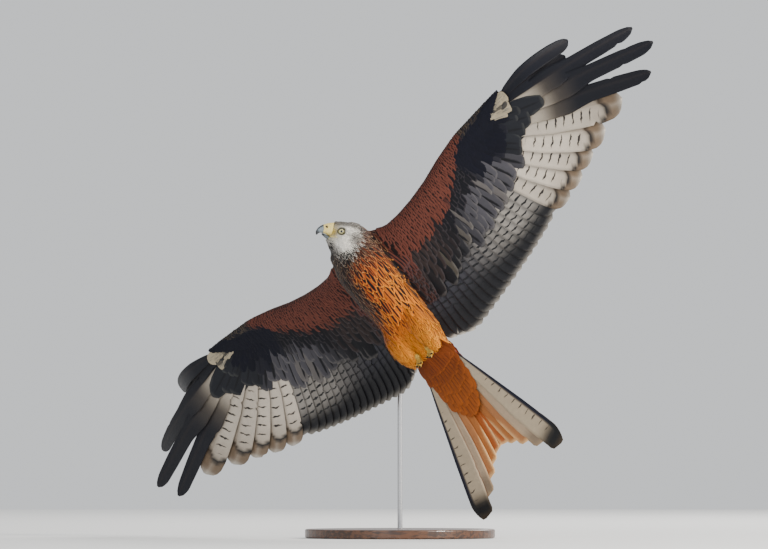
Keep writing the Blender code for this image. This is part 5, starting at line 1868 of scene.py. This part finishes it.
def clawMaterial():
    material, tree, shader = newMaterial("clawHorn", {"Roughness": 0.22})
    grain = cloudNoise(tree, objectPlace(tree), 700.0, 3.0)
    tone = blendColours(tree, ramp(tree, grain, 0.4, 0.9), solidTone("clawBlack"), solidTone("lidSlate"))
    plug(tree, tone, shader.inputs["Base Color"])
    bumpFrom(tree, grain, shader, 0.2, 0.0002)
    return material


def makeFoot(side, label):
    root = np.array(foot["place"]) * (1, side, 1)
    angles = np.arange(foot["sides"]) / foot["sides"] * 2 * np.pi
    polar = np.linspace(0.05, math.pi - 0.05, 18)
    long, wide, tall = foot["palm"]
    palm = [ovalRing(root + (math.cos(a) * long, 0, 0), acrossBody, upBody, math.sin(a) * wide, math.sin(a) * tall,
                     foot["sides"]) for a in polar]
    toes, claws = [shellOf(palm)], []
    cosine, sine = np.cos(angles), np.sin(angles)
    for number, (heading, length) in enumerate(foot["toes"]):
        rows = toePath(root, side * heading, foot["curlDeg"][number == 3], length)
        toeRings, clawRings = [], []
        for place, across, up, claw, part in rows:
            if claw:
                radius = foot["radius"] * (0.60 - 0.56 * part ** 0.8) * np.where(sine < 0, 0.85, 1.0)
                clawRings.append(place + np.outer(cosine * radius * 0.8, across) + np.outer(sine * radius, up))
                continue
            # plates above, pads below
            plates = 0.10 * (1 - (part * foot["scutes"]) % 1.0) * np.clip(sine, 0, 1) ** 0.5
            pads = 0.16 * abs(math.sin(3 * math.pi * part)) * np.clip(-sine, 0, 1)
            radius = foot["radius"] * (1 - 0.25 * part) * (1 + plates + pads)
            if part > 0.93:
                radius = radius * (1 - 0.3 * (part - 0.93) / 0.07)
            toeRings.append(place + np.outer(cosine * radius, across) + np.outer(sine * radius, up))
        toes.append(shellOf(toeRings))
        # the claw's first ring lies inside the end of the toe
        inside, meeting = rows[foot["toeSteps"] - 2][0], rows[foot["toeSteps"]][0]
        clawRings.insert(0, inside + (clawRings[0] - meeting) * 0.9)
        claws.append(shellOf(clawRings))
    points, faces = gathered(toes)
    made = [closedPiece("toes_" + label, points, faces, scalySkin)]
    points, faces = gathered(claws)
    made.append(closedPiece("claws_" + label, points, faces, clawHorn))
    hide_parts("foot_" + label)
    return made


eyeball, lidSkin, billHorn = eyeMaterial(), lidMaterial(), billMaterial()
scalySkin, clawHorn = footMaterial(), clawMaterial()
eyePieces, barePieces = [], []
hornPieces = [makeBill("upper", "bill_upper"), makeBill("lower", "bill_lower")]
for label, side in (("left", 1), ("right", -1)):
    eyePieces.append(makeEye(side, label))
    barePieces.append(makeLid(side, label))
    hornPieces.append(makeGape(side, label))
    toes, claws = makeFoot(side, label)
    barePieces.append(toes)
    hornPieces.append(claws)
print("eyes, bill and feet ready")


# the stand keeps its solids and gets steel and oiled wood
stand = {
    "steelStretch": (30, 30, 900),
    "steelTones": ((0.42, 0.42, 0.43, 1), (0.60, 0.60, 0.61, 1)),
    "figureStretch": (1.6, 15, 15),
    "figureRings": 42.0,
    "poreStretch": (30, 700, 700),
}


def stretchedNoise(tree, stretch, scale, detail, rough=0.5):
    node = addNode(tree, "ShaderNodeMapping")
    node.inputs["Scale"].default_value = stretch
    plug(tree, objectPlace(tree), node.inputs["Vector"])
    return cloudNoise(tree, node.outputs[0], scale, detail, rough)


def steelMaterial():
    material, tree, shader = newMaterial("brushedSteel", {"Metallic": 1.0})
    lines = stretchedNoise(tree, stand["steelStretch"], 1.0, 3.0)
    plug(tree, blendColours(tree, lines, *stand["steelTones"]), shader.inputs["Base Color"])
    plug(tree, ramp(tree, lines, 0.2, 0.8, 0.24, 0.42), shader.inputs["Roughness"])
    bumpFrom(tree, lines, shader, 0.15, 0.0001)
    return material


def woodMaterial():
    material, tree, shader = newMaterial("oiledWood", {"Roughness": 0.38, "Coat Weight": 0.2})
    figure = stretchedNoise(tree, stand["figureStretch"], 3.0, 4.0, 0.6)
    pores = stretchedNoise(tree, stand["poreStretch"], 1.0, 2.0)
    rings = ramp(tree, sums(tree, "SINE", times(tree, figure, stand["figureRings"])), -1.0, 1.0, 0.1, 0.9)
    tone = blendColours(tree, rings, solidTone("woodDark"), solidTone("woodLight"))
    tone = blendColours(tree, ramp(tree, pores, 0.55, 0.75, 0.0, 0.7), tone, solidTone("woodDark"))
    plug(tree, tone, shader.inputs["Base Color"])
    plug(tree, ramp(tree, pores, 0.3, 0.8, 0.32, 0.5), shader.inputs["Roughness"])
    bumpFrom(tree, pores, shader, 0.2, 0.0002)
    return material


for node, material in (("stand_rod", steelMaterial()), ("stand_base", woodMaterial())):
    for spot in bpy.data.objects[node].material_slots:
        spot.material = material
print("stand ready")

# everything rides on the one body
kinds = (("body_plumage", [skin] + coatPieces[1:]), ("head_plumage", coatPieces[:1]), ("wing_feathers", wingPieces),
         ("tail_feathers", tailPieces), ("eye", eyePieces), ("horn", hornPieces), ("bare_skin", barePieces))
for slot, pieces in kinds:
    for piece in pieces:
        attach(piece, "root")
fleshNodes = ["torso", "neck", "head", "leg_left", "leg_right"]
fleshNodes += ["wing_left_arm", "wing_left_hand", "wing_right_arm", "wing_right_hand", "tail"]
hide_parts(*fleshNodes)
